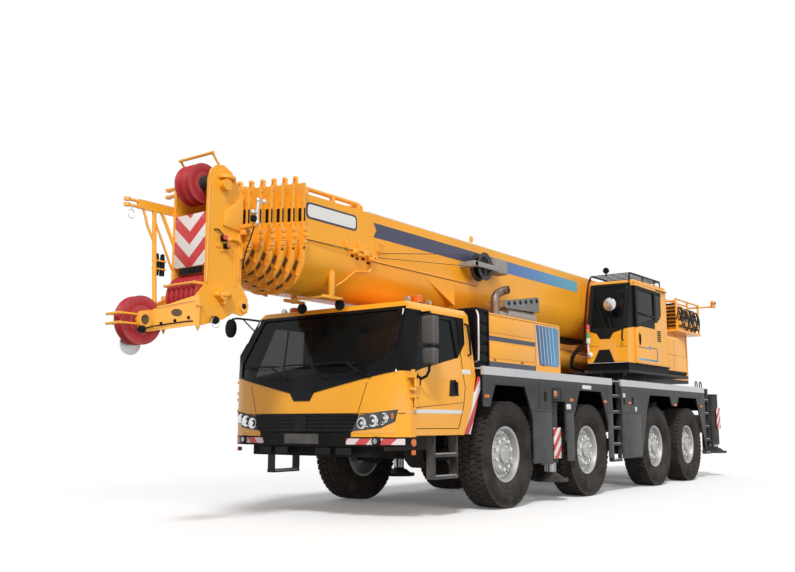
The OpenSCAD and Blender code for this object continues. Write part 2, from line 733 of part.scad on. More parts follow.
module cab_door() {
  color(yellow) difference() {
    union() {
      difference() {
        intersection() {
          cab_shell(0, cab_wall);
          door_prism(door_gap);
        }
        hinge_room(hinge_r + 8);
      }
      hinge_barrels();
    }
    prism_y(door_window(0), cab_roof_w - 2 * cab_wall, cab_half_w + cab_wall);
    for (z = hinge_z) rod_z(hinge_x, hinge_y, hinge_pin_r + pin_gap, z - hinge_h, z + hinge_h);
  }
}

module door_mirror() color(black) {
  rod_y(mirror_x, mirror_bottom_z - 90, 14, cab_waist_w - 40, mirror_y);
  rod_z(mirror_x, mirror_y, 16, mirror_bottom_z - 110, mirror_top_z);
  box(mirror_x - 60, mirror_x + 50, mirror_y - 110, mirror_reach, mirror_bottom_z, mirror_top_z);
}

module cab_door_left() {
  cab_door();
  door_mirror();
}

module cab_door_right() mirror([0, 1, 0]) cab_door();

seat_x = cab_foot_x + 280;
seat_y = 0.46 * cab_half_w;
dash_x = bumper_back_x - cab_wall - 5;
wheel_x = dash_x - 295;
wheel_ring_r = 205;
module seat(x, y, z) translate([x, y, z]) prism_y([
  [-190, 0], [190, 0], [190, 200], [300, 230], [300, 340], [-170, 340], [-290, 1000], [-400, 980], [-270, 230]
], -250, 250);

module cab_interior() color(grey) {
  floor_z = cab_floor_z + cab_wall;
  for (y = [-seat_y, seat_y]) seat(seat_x, y, floor_z);
  prism_y([[dash_x - 55, floor_z], [dash_x, floor_z], [dash_x, bumper_top_z + 70], [dash_x + 125, bumper_top_z + 120],
           [dash_x + 125, cab_sill_z - 60], [dash_x - 95, cab_sill_z - 30], [dash_x - 135, cab_sill_z - 140]],
          -cab_half_w + 4 * cab_wall, cab_half_w - 4 * cab_wall);
  bar([dash_x - 95, seat_y, cab_sill_z - 155], [wheel_x, seat_y, cab_sill_z - 30], 26);
  translate([wheel_x, seat_y, cab_sill_z - 30]) rotate([0, -58, 0]) {
    rotate_extrude() translate([wheel_ring_r, 0]) circle(r = 16);
    for (a = [0, 120, 240]) rotate([0, 0, a]) rod_x(0, 0, 11, 0, wheel_ring_r);
  }
}

// Bumper with its grille slots and lamp pockets, headlamps and roof beacons

lamp_in = 0.476 * cab_half_w;
lamp_out = 0.886 * cab_half_w;
grille_half = 0.42 * cab_half_w;
lamp_bottom_z = bumper_top_z - 200;
lamp_top_z = bumper_top_z - 45;
lamp_back_x = cab_front_x - cab_crown - cab_corner - 20;
slots = 5;

module bumper_volume(z0, z1) intersection() {
  prism_z(cab_plan(0), z0, z1);
  box(bumper_back_x, cab_front_x + 10, -cab_half_w, cab_half_w, z0, z1);
}

module front_bumper() color(black) {
  difference() {
    bumper_volume(bumper_bottom_z, bumper_top_z);
    for (s = [-1, 1]) on_side(s) box(lamp_back_x, cab_front_x + 50, lamp_in, lamp_out, lamp_bottom_z, lamp_top_z);
    for (k = [0:slots - 1])
      box(cab_front_x - 95, cab_front_x + 50, -grille_half, grille_half, lamp_bottom_z - 10 + 36 * k, lamp_bottom_z + 12 + 36 * k);
  }
  box(bumper_back_x, cab_front_x - 130, -0.67 * cab_half_w, 0.67 * cab_half_w, bumper_bottom_z - 115, bumper_bottom_z + 1);
}

beacon_x = cab_roof_x - 400;
beacon_y = 0.84 * cab_roof_w;

module lamps() {
  color("white") for (s = [-1, 1]) on_side(s) intersection() {
    bumper_volume(bumper_bottom_z, bumper_top_z);
    box(lamp_back_x, cab_front_x + 50, lamp_in + slide_gap, lamp_out - slide_gap, lamp_bottom_z + slide_gap,
        lamp_top_z - slide_gap);
  }
  color("orange") for (y = [-beacon_y, beacon_y]) translate([beacon_x, y, cab_roof_z]) {
    cylinder(h = 25, r = 62);
    cylinder(h = 110, r1 = 52, r2 = 44);
  }
}

// Hoods on both sides behind the cab, the engine, the air intake and the exhaust

plate_top_z = plate_z + deck_t;
intake_x = [330, 620];

module hood() difference() {
  box(hood_rear_x, hood_front_x, hood_inner_y, hood_outer_y, plate_top_z, hood_top_z);
  box(hood_rear_x + hood_wall, hood_front_x - hood_wall, hood_inner_y + hood_wall, hood_outer_y - hood_wall,
      plate_top_z - 1, hood_top_z - hood_wall);
}

module engine_hoods() color(yellow) {
  for (s = [-1, 1]) on_side(s) hood();
  box(intake_x[0], intake_x[1], hood_inner_y + 240, hood_outer_y + 30, plate_top_z, hood_top_z + 10);
}

module engine_block() color(grey) box(hood_rear_x + 260, hood_front_x - 430, hood_inner_y + 60, hood_outer_y - 80,
                                      plate_top_z, hood_top_z - 130);

module exhaust_stack() color(grey) {
  box(hood_rear_x + 300, hood_rear_x + 1030, hood_outer_y - 560, hood_outer_y - 230, hood_top_z, hood_top_z + 330);
  rod_z(hood_rear_x + 1160, hood_outer_y - 390, 75, hood_top_z, hood_top_z + 390);
  rod_x(hood_outer_y - 390, hood_top_z + 160, 60, hood_rear_x + 1020, hood_rear_x + 1160);
  rod_x(hood_outer_y - 390, hood_top_z + 335, 70, hood_rear_x + 1040, hood_rear_x + 1160);
}

// Turntable with its cheeks, pins and winch shaft

cheek_out = cheek_y + cheek_t;
platform_top_z = platform_z + platform_t;
lift_lug_in = 125;
lift_lug_out = 195;

module cheek() prism_y([
  [slew_x + 1000, platform_z], [slew_x + 800, lift_z + 150], [slew_x - 1250, 2600], [pivot_x + 360, pivot_z + 170],
  [pivot_x - 300, pivot_z + 170], [pivot_x - 560, pivot_z - 50], [tail_x, pivot_z - 50], [tail_x, platform_z]
], cheek_y, cheek_out);

module turntable() color(yellow) {
  difference() {
    translate([slew_x, 0, ring_z + slide_gap]) cylinder(h = platform_z - ring_z - slide_gap + 1, r = ring_r - 20);
    translate([slew_x, 0, ring_z - 1]) cylinder(h = platform_z - ring_z, r = ring_r - 200);
  }
  box(tail_x, slew_x + 1000, -cheek_out, cheek_out, platform_z, platform_top_z);
  box(op_rear_x - 1080, op_front_x - 40, cheek_y, op_outer_y - 15, platform_z, platform_top_z);
  box(op_rear_x - 1080, slew_x + 400, -op_outer_y + 15, -cheek_y, platform_z, platform_top_z);
  for (s = [-1, 1]) on_side(s) {
    cheek();
    prism_y([[slew_x - 260, platform_top_z - 1], [slew_x + 260, platform_top_z - 1], [slew_x + 100, lift_z + 110],
             [slew_x - 100, lift_z + 110]], lift_lug_in, lift_lug_out);
  }
  rod_y(slew_x, lift_z, lift_pin_r, -lift_lug_out, lift_lug_out);
  rod_y(pivot_x, pivot_z, pivot_r, -cheek_out, cheek_out);
  rod_y(winch_x, winch_z, winch_pin_r, -cheek_out, cheek_out);
}

drum_half = cheek_y - 20;

module winch_drum() color(grey) translate([winch_x, 0, winch_z]) rotate([-90, 0, 0]) rotate_extrude() polygon([
  [winch_pin_r + pin_gap, -drum_half], [drum_flange_r, -drum_half], [drum_flange_r, -drum_half + 30],
  [drum_r, -drum_half + 30], [drum_r, drum_half - 30], [drum_flange_r, drum_half - 30], [drum_flange_r, drum_half],
  [winch_pin_r + pin_gap, drum_half]
]);

cover_x = [op_rear_x - 60, op_rear_x - 1080];
cover_top_z = 2660;

module side_cover() prism_y([
  [cover_x[0], platform_top_z], [cover_x[0], cover_top_z], [cover_x[1] + 420, cover_top_z],
  [cover_x[1] + 200, cover_top_z - 50], [cover_x[1] + 60, cover_top_z - 170], [cover_x[1], cover_top_z - 340],
  [cover_x[1], platform_top_z]
], cheek_out, op_outer_y - 20);

module side_covers() color(yellow) for (s = [-1, 1]) on_side(s) side_cover();

// Open hydraulics frame on the left cheek's tail, with the beacon arm

rack_x = [tail_x - 100, pivot_x - 50];
rack_y = [cheek_out, cheek_out + 290];
arm_tip_y = rack_y[1] + 230;
rack_z = [2930, arm_z];
rack_tube_r = 22;

module rear_frame() color(yellow) {
  box(rack_x[0], rack_x[1], rack_y[0], rack_y[1], rack_z[0], rack_z[0] + 40);
  for (x = [rack_x[0] + 30, (rack_x[0] + rack_x[1]) / 2, rack_x[1] - 30]) for (y = [rack_y[0] + 30, rack_y[1] - 30])
    rod_z(x, y, rack_tube_r, rack_z[0] + 10, rack_z[1]);
  for (y = [rack_y[0] + 30, rack_y[1] - 30])
    rod_x(y, rack_z[1] - rack_tube_r, rack_tube_r - 3, rack_x[0] + 10, rack_x[1] - 10);
  for (x = [rack_x[0] + 30, rack_x[1] - 30])
    rod_y(x, rack_z[1] - 60, rack_tube_r - 4, rack_y[0] + 20, rack_y[1] - 20);
  box(rack_x[1] - 520, rack_x[1] - 90, rack_y[0] + 60, rack_y[1] - 40, rack_z[0] + 30, rack_z[1] - 140);
  box(rack_x[0] + 130, rack_x[0] + 620, rack_y[0] + 60, rack_y[1] - 60, rack_z[0] + 30, rack_z[1] - 260);
  bar([rack_x[0] + 30, rack_y[1] - 60, arm_z - 60], [arm_tip_x + 40, arm_tip_y, arm_z - 30], 20);
  rod_x(arm_tip_y, arm_z - 30, 30, arm_tip_x, arm_tip_x + 130);
  rod_z(arm_tip_x + 100, arm_tip_y, 45, arm_z - 40, arm_z + 90);
}

// Operator cab with its glass and sliding door

op_floor_z = platform_top_z;
op_skid_z = op_floor_z + 120;
function op_side(i) = [
  [op_front_x - i, op_floor_z + i], [op_front_x + 30 - i, op_skid_z + 30], [op_front_x - 10 - i, op_belt_z],
  [op_roof_front_x - 0.9 * i, op_roof_z - 30 - i], [op_roof_front_x - 100, op_roof_z - i],
  [op_rear_x + 60, op_roof_z + 20 - i], [op_rear_x + i, op_roof_z - 60 - i], [op_rear_x + i, op_floor_z + i]
];

op_door_x = [op_rear_x + 640, op_front_x - 330];
op_door_z = [op_skid_z + 30, op_roof_z - 100];
op_lap = 30;
op_rail = 30;

function op_front_window(g) = [
  [op_inner_y + 75 + g, op_belt_z + 10 + g], [op_outer_y - 75 - g, op_belt_z + 10 + g],
  [op_outer_y - 85 - g, op_roof_z - 110 - g], [op_inner_y + 85 + g, op_roof_z - 110 - g]
];
function op_foot_window(g) = [
  [op_inner_y + 200 + g, op_skid_z + 50 + g], [op_outer_y - 200 - g, op_skid_z + 50 + g],
  [op_outer_y - 280 - g, op_belt_z - 190 - g], [op_inner_y + 280 + g, op_belt_z - 190 - g]
];
function op_rear_pane(g) = [
  [op_rear_x + 130 + g, op_belt_z + 80 + g], [op_rear_x + 540 - g, op_belt_z + 80 + g],
  [op_rear_x + 540 - g, op_roof_z - 160 - g], [op_rear_x + 130 + g, op_roof_z - 160 - g]
];

module op_cuts() {
  prism_x(op_front_window(0), op_roof_front_x - 80, op_front_x + 100);
  prism_x(op_foot_window(0), op_front_x - 120, op_front_x + 100);
  for (y = [op_inner_y, op_outer_y]) prism_y(op_rear_pane(0), y - op_wall - 10, y + op_wall + 10);
  box(op_door_x[0], op_door_x[1], op_outer_y - op_wall - 10, op_outer_y + 10, op_door_z[0], op_door_z[1]);
}

module op_shell(outer, inner) difference() {
  prism_y(op_side(outer), op_inner_y + outer, op_outer_y - outer);
  prism_y(op_side(inner), op_inner_y + inner, op_outer_y - inner);
}

module operator_cab() color(yellow) {
  difference() {
    op_shell(0, op_wall);
    op_cuts();
  }
  for (z = [op_door_z[0] - op_lap - slide_gap - op_rail, op_door_z[1] + op_lap + slide_gap])
    box(op_rear_x + 20, op_door_x[1] + op_lap + 10, op_outer_y - 5, op_outer_y + op_door_t, z, z + op_rail);
  seat(op_rear_x + 620, (op_inner_y + op_outer_y) / 2, op_floor_z + op_wall);
}

module operator_cab_glass() color(glass) {
  intersection() {
    op_shell(8, 18);
    union() {
      prism_x(op_front_window(slide_gap), op_roof_front_x - 80, op_front_x + 100);
      prism_x(op_foot_window(slide_gap), op_front_x - 120, op_front_x + 100);
      for (y = [op_inner_y, op_outer_y]) prism_y(op_rear_pane(slide_gap), y - 30, y + 30);
    }
  }
}

module operator_cab_door() color(yellow) difference() {
  box(op_door_x[0] - op_lap, op_door_x[1] + op_lap, op_outer_y + slide_gap, op_outer_y + op_door_t,
      op_door_z[0] - op_lap, op_door_z[1] + op_lap);
  box(op_door_x[0] + 70, op_door_x[1] - 60, op_outer_y - 10, op_outer_y + 60, op_belt_z + 60, op_roof_z - 170);
}

// Boom sections: a flat top, upright sides and a round bottom

arc_steps = 16;
function u_outline(w, top) = concat(
  [[w, top], [-w, top]],
  [for (k = [0:arc_steps]) let (a = 180 + 180 * k / arc_steps) [w * cos(a), boom_round_z + w * sin(a)]]
);
function section_w(k) = boom_half_w - k * boom_step;
function section_top(k) = boom_top_z - k * boom_step;
function collar_front(k) = collar_x + k * collar_pitch;
tele_rear_x = pivot_x + 300;

module section_tube(k, x0, x1) difference() {
  prism_x(u_outline(section_w(k), section_top(k)), x0, x1);
  prism_x(u_outline(section_w(k) - boom_wall, section_top(k) - boom_wall), x0 - 1, x1 + 1);
}

// The collar at the front of section k, which guides section k + 1
module collar(k) difference() {
  prism_x(u_outline(section_w(k) + collar_h, section_top(k) + collar_h + collar_crest),
          collar_front(k) - collar_t, collar_front(k));
  prism_x(u_outline(section_w(k + 1) + slide_gap, section_top(k + 1) + slide_gap),
          collar_front(k) - collar_t - 1, collar_front(k) + 1);
}

eye_lug_in = 125;
eye_lug_out = 165;
boom_bottom_z = boom_round_z - boom_half_w;

module boom_base() color(yellow) difference() {
  union() {
    section_tube(0, boom_rear_x + 19, collar_front(0) - 1);
    collar(0);
    prism_x(u_outline(section_w(0), section_top(0)), boom_rear_x, boom_rear_x + 20);
    rod_y(pivot_x, pivot_z, pivot_r + 60, -boom_half_w + 1, boom_half_w - 1);
    difference() {
      for (s = [-1, 1]) on_side(s) {
        prism_y([[eye_x + 620, boom_bottom_z + 80], [eye_x + 160, eye_z - 130], [eye_x - 160, eye_z - 130],
                 [eye_x - 480, boom_bottom_z + 80]], eye_lug_in, eye_lug_out);
        prism_y([[eye_x + 1830, boom_round_z], [eye_x + 1060, boom_round_z], [eye_x + 1060, boom_bottom_z + 120]],
                boom_half_w - 130, boom_half_w - 2);
      }
      prism_x(u_outline(section_w(0) - boom_wall / 2, section_top(0)), eye_x - 2000, eye_x + 2000);
    }
  }
  rod_y(pivot_x, pivot_z, pivot_r + pin_gap, -boom_half_w - 1, boom_half_w + 1);
  rod_y(eye_x, eye_z, eye_bore_r, -eye_lug_out - 1, eye_lug_out + 1);
}

module tele(k) color(yellow) {
  section_tube(k, tele_rear_x + 120 * k, collar_front(k) - 1);
  collar(k);
}

reel_x = -600;
reel_z = (boom_round_z + boom_top_z) / 2 - 45;
reel_r = 200;
module cable_reel() color(grey) {
  rod_y(reel_x, reel_z, 45, boom_half_w, boom_half_w + 240);
  rod_y(reel_x, reel_z, reel_r, boom_half_w + 90, boom_half_w + 240);
  box(reel_x - 120, reel_x + 120, boom_half_w, boom_half_w + 20, reel_z - 160, reel_z + 160);
}

jib_x = [-4500, 3150];
jib_gap = 150;
jib_w = 240;
jib_y = [-boom_half_w - jib_gap, -boom_half_w - jib_gap - jib_w];
jib_brackets = [jib_x[0] + 1000, (jib_x[0] + jib_x[1]) / 2, jib_x[1] - 1050];
jib_z = [2640, 3000];
module stowed_jib() color(grey) {
  difference() {
    box(jib_x[0], jib_x[1], jib_y[0], jib_y[1], jib_z[0], jib_z[1]);
    box(jib_x[0] - 1, jib_x[1] + 1, jib_y[0] - 15, jib_y[1] + 15, jib_z[0] + 15, jib_z[1] - 15);
  }
  for (x = jib_brackets) box(x - 70, x + 70, -boom_half_w, jib_y[0] - 1, boom_round_z, jib_z[1] + 60);
  for (x = jib_brackets) box(x - 70, x + 70, -boom_half_w - 20, jib_y[1], jib_z[1] - 1, jib_z[1] + 60);
}

// Lift cylinder: its barrel on the turntable and its rod, whose eye lies between the boom's lugs

lift_len = norm([eye_x - slew_x, eye_z - lift_z]);
lift_angle = atan2(eye_z - lift_z, eye_x - slew_x);
barrel_len = lift_len - 330;
barrel_root = 300;
eye_r = 130;
eye_half = eye_lug_in - 5;

module along_lift() translate([slew_x, 0, lift_z]) rotate([0, -lift_angle, 0]) children();

module lift_cylinder_barrel() color(yellow) along_lift() difference() {
  union() {
    rod_y(0, 0, eye_r, -lift_lug_in + 5, lift_lug_in - 5);
    rod_x(0, 0, lift_lug_in - 8, 60, barrel_root);
    rod_x(0, 0, barrel_r, barrel_root - 1, barrel_len);
  }
  rod_y(0, 0, lift_pin_r + pin_gap, -lift_lug_in, lift_lug_in);
  rod_x(0, 0, rod_r + pin_gap, barrel_root + 30, barrel_len + 1);
}

module lift_cylinder_rod() color(silver) along_lift() difference() {
  union() {
    rod_x(0, 0, rod_r, barrel_root + 70, lift_len);
    rod_y(lift_len, 0, eye_r, -eye_half, eye_half);
  }
  rod_y(lift_len, 0, eye_bore_r, -eye_half - 1, eye_half + 1);
}

// Head on the innermost section, with its sheaves

head_rear_x = collar_front(sections - 1) + 20;
head_in = head_half_w - head_t;
head_front_x = top_sheave_x + 75;
head_top_z = top_sheave_z + 195;
lug_x = low_sheave_x - 370;
lug_z = low_sheave_z - 70;
panel_bottom_z = low_sheave_z + 300;
panel_top_z = top_sheave_z - 325;
arm_y = head_half_w + 42;
arm_low_z = panel_top_z + 20;
arm_front_x = rooster_x - 145;
mast_x = head_front_x + 240;

// The rooster's plates bend inwards at the nose and run straight again beside its sheave
nose_x = low_sheave_x + 250;
nose_end_x = rooster_x - 120;
rooster_in = rooster_w + 12;
rooster_out = rooster_in + head_t;
nose_angle = atan2(head_in - rooster_in, nose_end_x - nose_x);
nose_len = norm([head_in - rooster_in, nose_end_x - nose_x]);

module rooster_plate() {
  translate([nose_x, head_in, 0]) rotate([0, 0, -nose_angle]) prism_y([
    [-40, rooster_z - 14], [nose_len + 8, rooster_z - 96], [nose_len + 8, rooster_z + 112], [0, low_sheave_z - 24],
    [-40, low_sheave_z - 24]
  ], 0, head_t - 1);
  prism_y([
    [nose_end_x - 12, rooster_z - 95], [rooster_x - 40, rooster_z - 110], [rooster_x + 50, rooster_z - 90],
    [rooster_x + 90, rooster_z], [rooster_x + 50, rooster_z + 80], [rooster_x - 60, rooster_z + 100],
    [nose_end_x - 12, rooster_z + 110]
  ], rooster_in, rooster_out);
}

module head_plate() difference() {
  prism_y([
    [head_rear_x, low_sheave_z + 150], [lug_x - 60, lug_z + 80], [lug_x - 60, lug_z - 60], [lug_x + 10, lug_z - 100],
    [lug_x + 130, lug_z - 80], [low_sheave_x - 100, low_sheave_z - 230], [low_sheave_x + 160, low_sheave_z - 310],
    [nose_x, rooster_z - 18], [nose_x, low_sheave_z - 20], [head_front_x, low_sheave_z + 100], [head_front_x, top_sheave_z + 5], [head_front_x - 30, top_sheave_z + 115],
    [head_front_x - 95, head_top_z - 20], [head_front_x - 190, head_top_z], [head_front_x - 300, head_top_z - 50],
    [head_rear_x, top_sheave_z - 75]
  ], head_in - 1, head_half_w);
  rod_y(lug_x, lug_z, lug_bore_r, head_in - 2, head_half_w + 1);
}

module boom_head() color(yellow) {
  section_tube(sections, tele_rear_x + 120 * sections, head_rear_x + 120);
  for (s = [-1, 1]) on_side(s) {
    head_plate();
    rooster_plate();
    rod_y(top_sheave_x, top_sheave_z, sheave_pin_r + 25, top_sheave_w + 5, head_in + 1);
    for (z = [top_sheave_z - 20, low_sheave_z + 20])
      rod_y(head_rear_x + 280, z, 60, head_half_w - 1, head_half_w + 70);
    bar([head_front_x - 165, head_in + 14, head_top_z - 40], [head_front_x - 45, head_in + 14, head_top_z + 100], 12);
    for (z = [-45, 45]) rod_x(rooster_in + 15, rooster_z + z, 11, rooster_x + 20, front_tip_x - 8);
  }
  for (z = [-45, 45]) rod_y(front_tip_x - 14, rooster_z + z, 14, -rooster_out - 25, rooster_out);
  rod_y(head_front_x - 45, head_top_z + 100, 16, -head_in - 30, head_in + 30);
  box(head_front_x - 27, head_front_x - 2, -head_in - 2, head_in + 2, panel_bottom_z, panel_top_z);
  box(head_rear_x + 60, head_rear_x + 112, -head_in - 3, head_in + 3, low_sheave_z + 370, top_sheave_z - 95);
  rod_y(top_sheave_x, top_sheave_z, sheave_pin_r, -head_in - 1, head_in + 1);
  rod_y(low_sheave_x, low_sheave_z, sheave_pin_r, -head_in - 1, head_in + 1);
  rod_y(rooster_x, rooster_z, sheave_pin_r, -rooster_in - 12, rooster_in + 12);
  box(head_front_x - 60, arm_front_x, -arm_y, -head_half_w + 1, arm_low_z, arm_low_z + 90);
  bar([mast_x, -head_half_w - 20, arm_low_z + 30], [mast_x + 25, -head_in + 55, rooster_z + 150], 22);
  bar([mast_x - 80, -head_half_w - 21, arm_low_z + 35],
      [head_front_x - 40, -head_half_w + 5, arm_low_z - 380], 18);
}

// Sheaves of radius r side by side over the width 2 * half, one groove each
function sheave_profile(r, n, half) = concat(
  [[sheave_pin_r + pin_gap, -half]],
  [for (k = [0:n - 1]) let (p = 2 * half / n, y = -half + k * p)
    each [[r, y], [r, y + 0.12 * p], [r - 34, y + 0.4 * p], [r - 34, y + 0.6 * p], [r, y + 0.88 * p]]],
  [[r, half], [sheave_pin_r + pin_gap, half]]
);

module sheaves(x, z, r, n, half) color(red) translate([x, 0, z]) rotate([-90, 0, 0]) rotate_extrude()
  polygon(sheave_profile(r, n, half));

module top_sheave() sheaves(top_sheave_x, top_sheave_z, top_sheave_r, 2, top_sheave_w);
module lower_sheaves() sheaves(low_sheave_x, low_sheave_z, sheave_r, low_sheaves, head_in - 12);
module rooster_sheave() sheaves(rooster_x, rooster_z, rooster_r, 1, rooster_w);

side_names = ["left", "right"];
corner_names = ["front_left", "front_right", "rear_left", "rear_right"];

placed() chassis_frame();
placed() axle_beams();
placed() deck_plates();
placed() side_skirts();
placed() ladders();
placed() carrier_cab();
placed() carrier_cab_glass();
placed() cab_interior();
placed() cab_door_left();
placed() cab_door_right();
placed() front_bumper();
placed() lamps();
placed() engine_hoods();
placed() engine_block();
placed() exhaust_stack();
for (i = [0:3]) for (k = [0:1]) {
  placed() knuckle(i, 1 - 2 * k);
  placed() wheel(i, 1 - 2 * k);
}
for (i = [0:3]) {
  placed() outrigger_beam(i);
  placed() outrigger_jack(i);
}
placed() turntable();
placed() winch_drum();
placed() side_covers();
placed() rear_frame();
placed() operator_cab();
placed() operator_cab_glass();
placed() operator_cab_door();
placed() lift_cylinder_barrel();
placed() lift_cylinder_rod();
placed() boom_base();
placed() cable_reel();
placed() stowed_jib();
for (k = [1:sections - 1]) placed() tele(k);
placed() boom_head();
placed() top_sheave();
placed() lower_sheaves();
placed() rooster_sheave();
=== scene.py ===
"""Looks of a four-axle mobile crane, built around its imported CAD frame.

Places are in metres, measured forward from axle 1, to the vehicle's left and up from the ground.
"""

from __future__ import annotations

import json
import logging
import math
from dataclasses import dataclass
from enum import Enum
from typing import Callable, Iterable, Sequence

import bmesh
import bpy
from mathutils import Matrix, Vector

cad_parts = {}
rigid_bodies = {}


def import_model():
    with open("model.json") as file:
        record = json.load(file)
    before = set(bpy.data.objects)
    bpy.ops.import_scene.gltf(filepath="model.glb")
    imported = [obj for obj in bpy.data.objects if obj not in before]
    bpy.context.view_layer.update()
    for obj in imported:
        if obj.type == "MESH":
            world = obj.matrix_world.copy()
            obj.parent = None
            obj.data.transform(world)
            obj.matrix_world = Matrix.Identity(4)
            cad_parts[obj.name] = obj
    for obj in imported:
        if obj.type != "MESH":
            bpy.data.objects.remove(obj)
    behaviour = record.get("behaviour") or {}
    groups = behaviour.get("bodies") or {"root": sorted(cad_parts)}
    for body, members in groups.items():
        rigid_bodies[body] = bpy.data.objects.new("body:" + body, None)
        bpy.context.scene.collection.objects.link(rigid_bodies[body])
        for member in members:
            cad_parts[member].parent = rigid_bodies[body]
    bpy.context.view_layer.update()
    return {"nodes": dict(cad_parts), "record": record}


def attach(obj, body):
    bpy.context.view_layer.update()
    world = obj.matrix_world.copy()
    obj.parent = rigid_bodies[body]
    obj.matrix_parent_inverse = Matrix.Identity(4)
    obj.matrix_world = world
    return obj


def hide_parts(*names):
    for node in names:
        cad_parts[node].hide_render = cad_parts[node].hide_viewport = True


log = logging.getLogger("crane")

Point = tuple[float, float, float]
Flat = tuple[float, float]
Tree = bpy.types.NodeTree
Socket = bpy.types.NodeSocket

PHOTO_WIDTH = 795
FOCAL_PIXELS = 877.9
SENSOR = 36.0
# Axle 1 lies this far in front of the frame's origin
AXLE_1_X = 2.3655
COAT_ROUGHNESS = 0.12
# How much rougher dust and smears make a surface
SOILED_ROUGHER = 0.35
SMEARED_ROUGHER = 0.08
# Points of a CAD node closer than this are one
WELD = 2e-5
# Angles in degrees: faces that are one flat face, edges that get rounded, edges shaded smooth
FLAT_ANGLE = 1.0
EDGE_ANGLE = 38.0
SMOOTH_ANGLE = 40.0
FLOOR_HALF = 120


class Axis(Enum):
    """The axis that a shape is drawn along."""

    X = "x"
    Y = "y"
    Z = "z"


class Side(Enum):
    """A side of the vehicle, as the sign of its Y."""

    LEFT = 1
    RIGHT = -1


SIDES = (Side.LEFT, Side.RIGHT)


# Finishes


@dataclass(frozen=True)
class Finish:
    """A coated, moulded or bare surface with grain, dust and worn edges.

    Attributes:
        name: Name of the material.
        colour: Linear colour of the clean surface.
        dirt: Linear colour of its dust and stains.
        roughness: Roughness of the clean surface.
        metallic: 1 for bare metal.
        coat: Weight of the clear coat.
        soil: How much of the surface is soiled, from 0 to 1.
        grain: Depth of the fine bump in metres.
        grain_scale: Number of grains in a metre.
        wear: How far the edges are rubbed pale, from 0 to 1.
        specular: Strength of the surface's mirror-like shine.
    """

    name: str
    colour: Point
    dirt: Point = (0.3, 0.25, 0.19)
    roughness: float = 0.4
    metallic: float = 0.0
    coat: float = 0.0
    soil: float = 0.15
    grain: float = 0.0002
    grain_scale: float = 160.0
    wear: float = 0.25
    specular: float = 0.5

    def build(self) -> bpy.types.Material:
        """Return the material, made on its first use."""
        label = f"crane_{self.name}"
        known = bpy.data.materials.get(label)
        if known:
            return known
        material = bpy.data.materials.new(label)
        material.use_nodes = True
        self.wire(material.node_tree, material.node_tree.nodes["Principled BSDF"])
        return material

    def wire(self, tree: Tree, shader: bpy.types.Node) -> None:
        """Join the colour, roughness and bump to the shader.

        Args:
            tree: The material's node tree.
            shader: Its Principled shader.
        """
        shader.inputs["Metallic"].default_value = self.metallic
        shader.inputs["Coat Weight"].default_value = self.coat
        shader.inputs["Coat Roughness"].default_value = COAT_ROUGHNESS
        shader.inputs["Specular IOR Level"].default_value = self.specular
        place = tree.nodes.new("ShaderNodeTexCoord").outputs["Object"]
        soil = self.soiling(tree, place)
        colour = self.colouring(tree, place)
        worn = mix_colour(tree, self.edge_mask(tree), colour, (*lighter(self.colour), 1))
        dusty = mix_colour(tree, soil, worn, (*self.dirt, 1))
        tree.links.new(dusty, shader.inputs["Base Color"])
        rough = ranged(tree, soil, self.roughness, min(1.0, self.roughness + SOILED_ROUGHER))
        tree.links.new(rough, shader.inputs["Roughness"])
        bump = tree.nodes.new("ShaderNodeBump")
        bump.inputs["Distance"].default_value = self.grain
        tree.links.new(noise(tree, place, self.grain_scale, 3), bump.inputs["Height"])
        tree.links.new(bump.outputs["Normal"], shader.inputs["Normal"])

    def colouring(self, tree: Tree, place: Socket) -> Socket:
        """Return the clean colour, which varies a little over a metre.

        Args:
            tree: The material's node tree.
            place: Object coordinates.

        Returns:
            A colour socket.
        """
        ramp = tree.nodes.new("ShaderNodeValToRGB")
        ramp.color_ramp.elements[0].position = 0.3
        ramp.color_ramp.elements[1].position = 0.7
        ramp.color_ramp.elements[0].color = (*(0.94 * c for c in self.colour), 1)
        ramp.color_ramp.elements[1].color = (*(min(1.0, 1.04 * c) for c in self.colour), 1)
        tree.links.new(noise(tree, place, 1.3, 2), ramp.inputs["Fac"])
        return ramp.outputs["Color"]

    def soiling(self, tree: Tree, place: Socket) -> Socket:
        """Return how soiled each place is: blotches, and more of them near the ground.

        Args:
            tree: The material's node tree.
            place: Object coordinates.

        Returns:
            A value socket from 0 to 1.
        """
        split = tree.nodes.new("ShaderNodeSeparateXYZ")
        tree.links.new(place, split.inputs["Vector"])
        low = ranged(tree, split.outputs["Z"], 0.35 * self.soil, 1.6 * self.soil, 1.6, 0.2)
        spread = ranged(tree, noise(tree, place, 5.0, 6), 0.0, 1.0, 0.35, 0.75)
        return arithmetic(tree, "MULTIPLY", low, spread)

    def edge_mask(self, tree: Tree) -> Socket:
        """Return how rubbed each place is, from how far the surface is convex there.

        Args:
            tree: The material's node tree.

        Returns:
            A value socket from 0 to 1.
        """
        convex = tree.nodes.new("ShaderNodeNewGeometry").outputs["Pointiness"]
        return ranged(tree, convex, 0.0, self.wear, 0.53, 0.62)


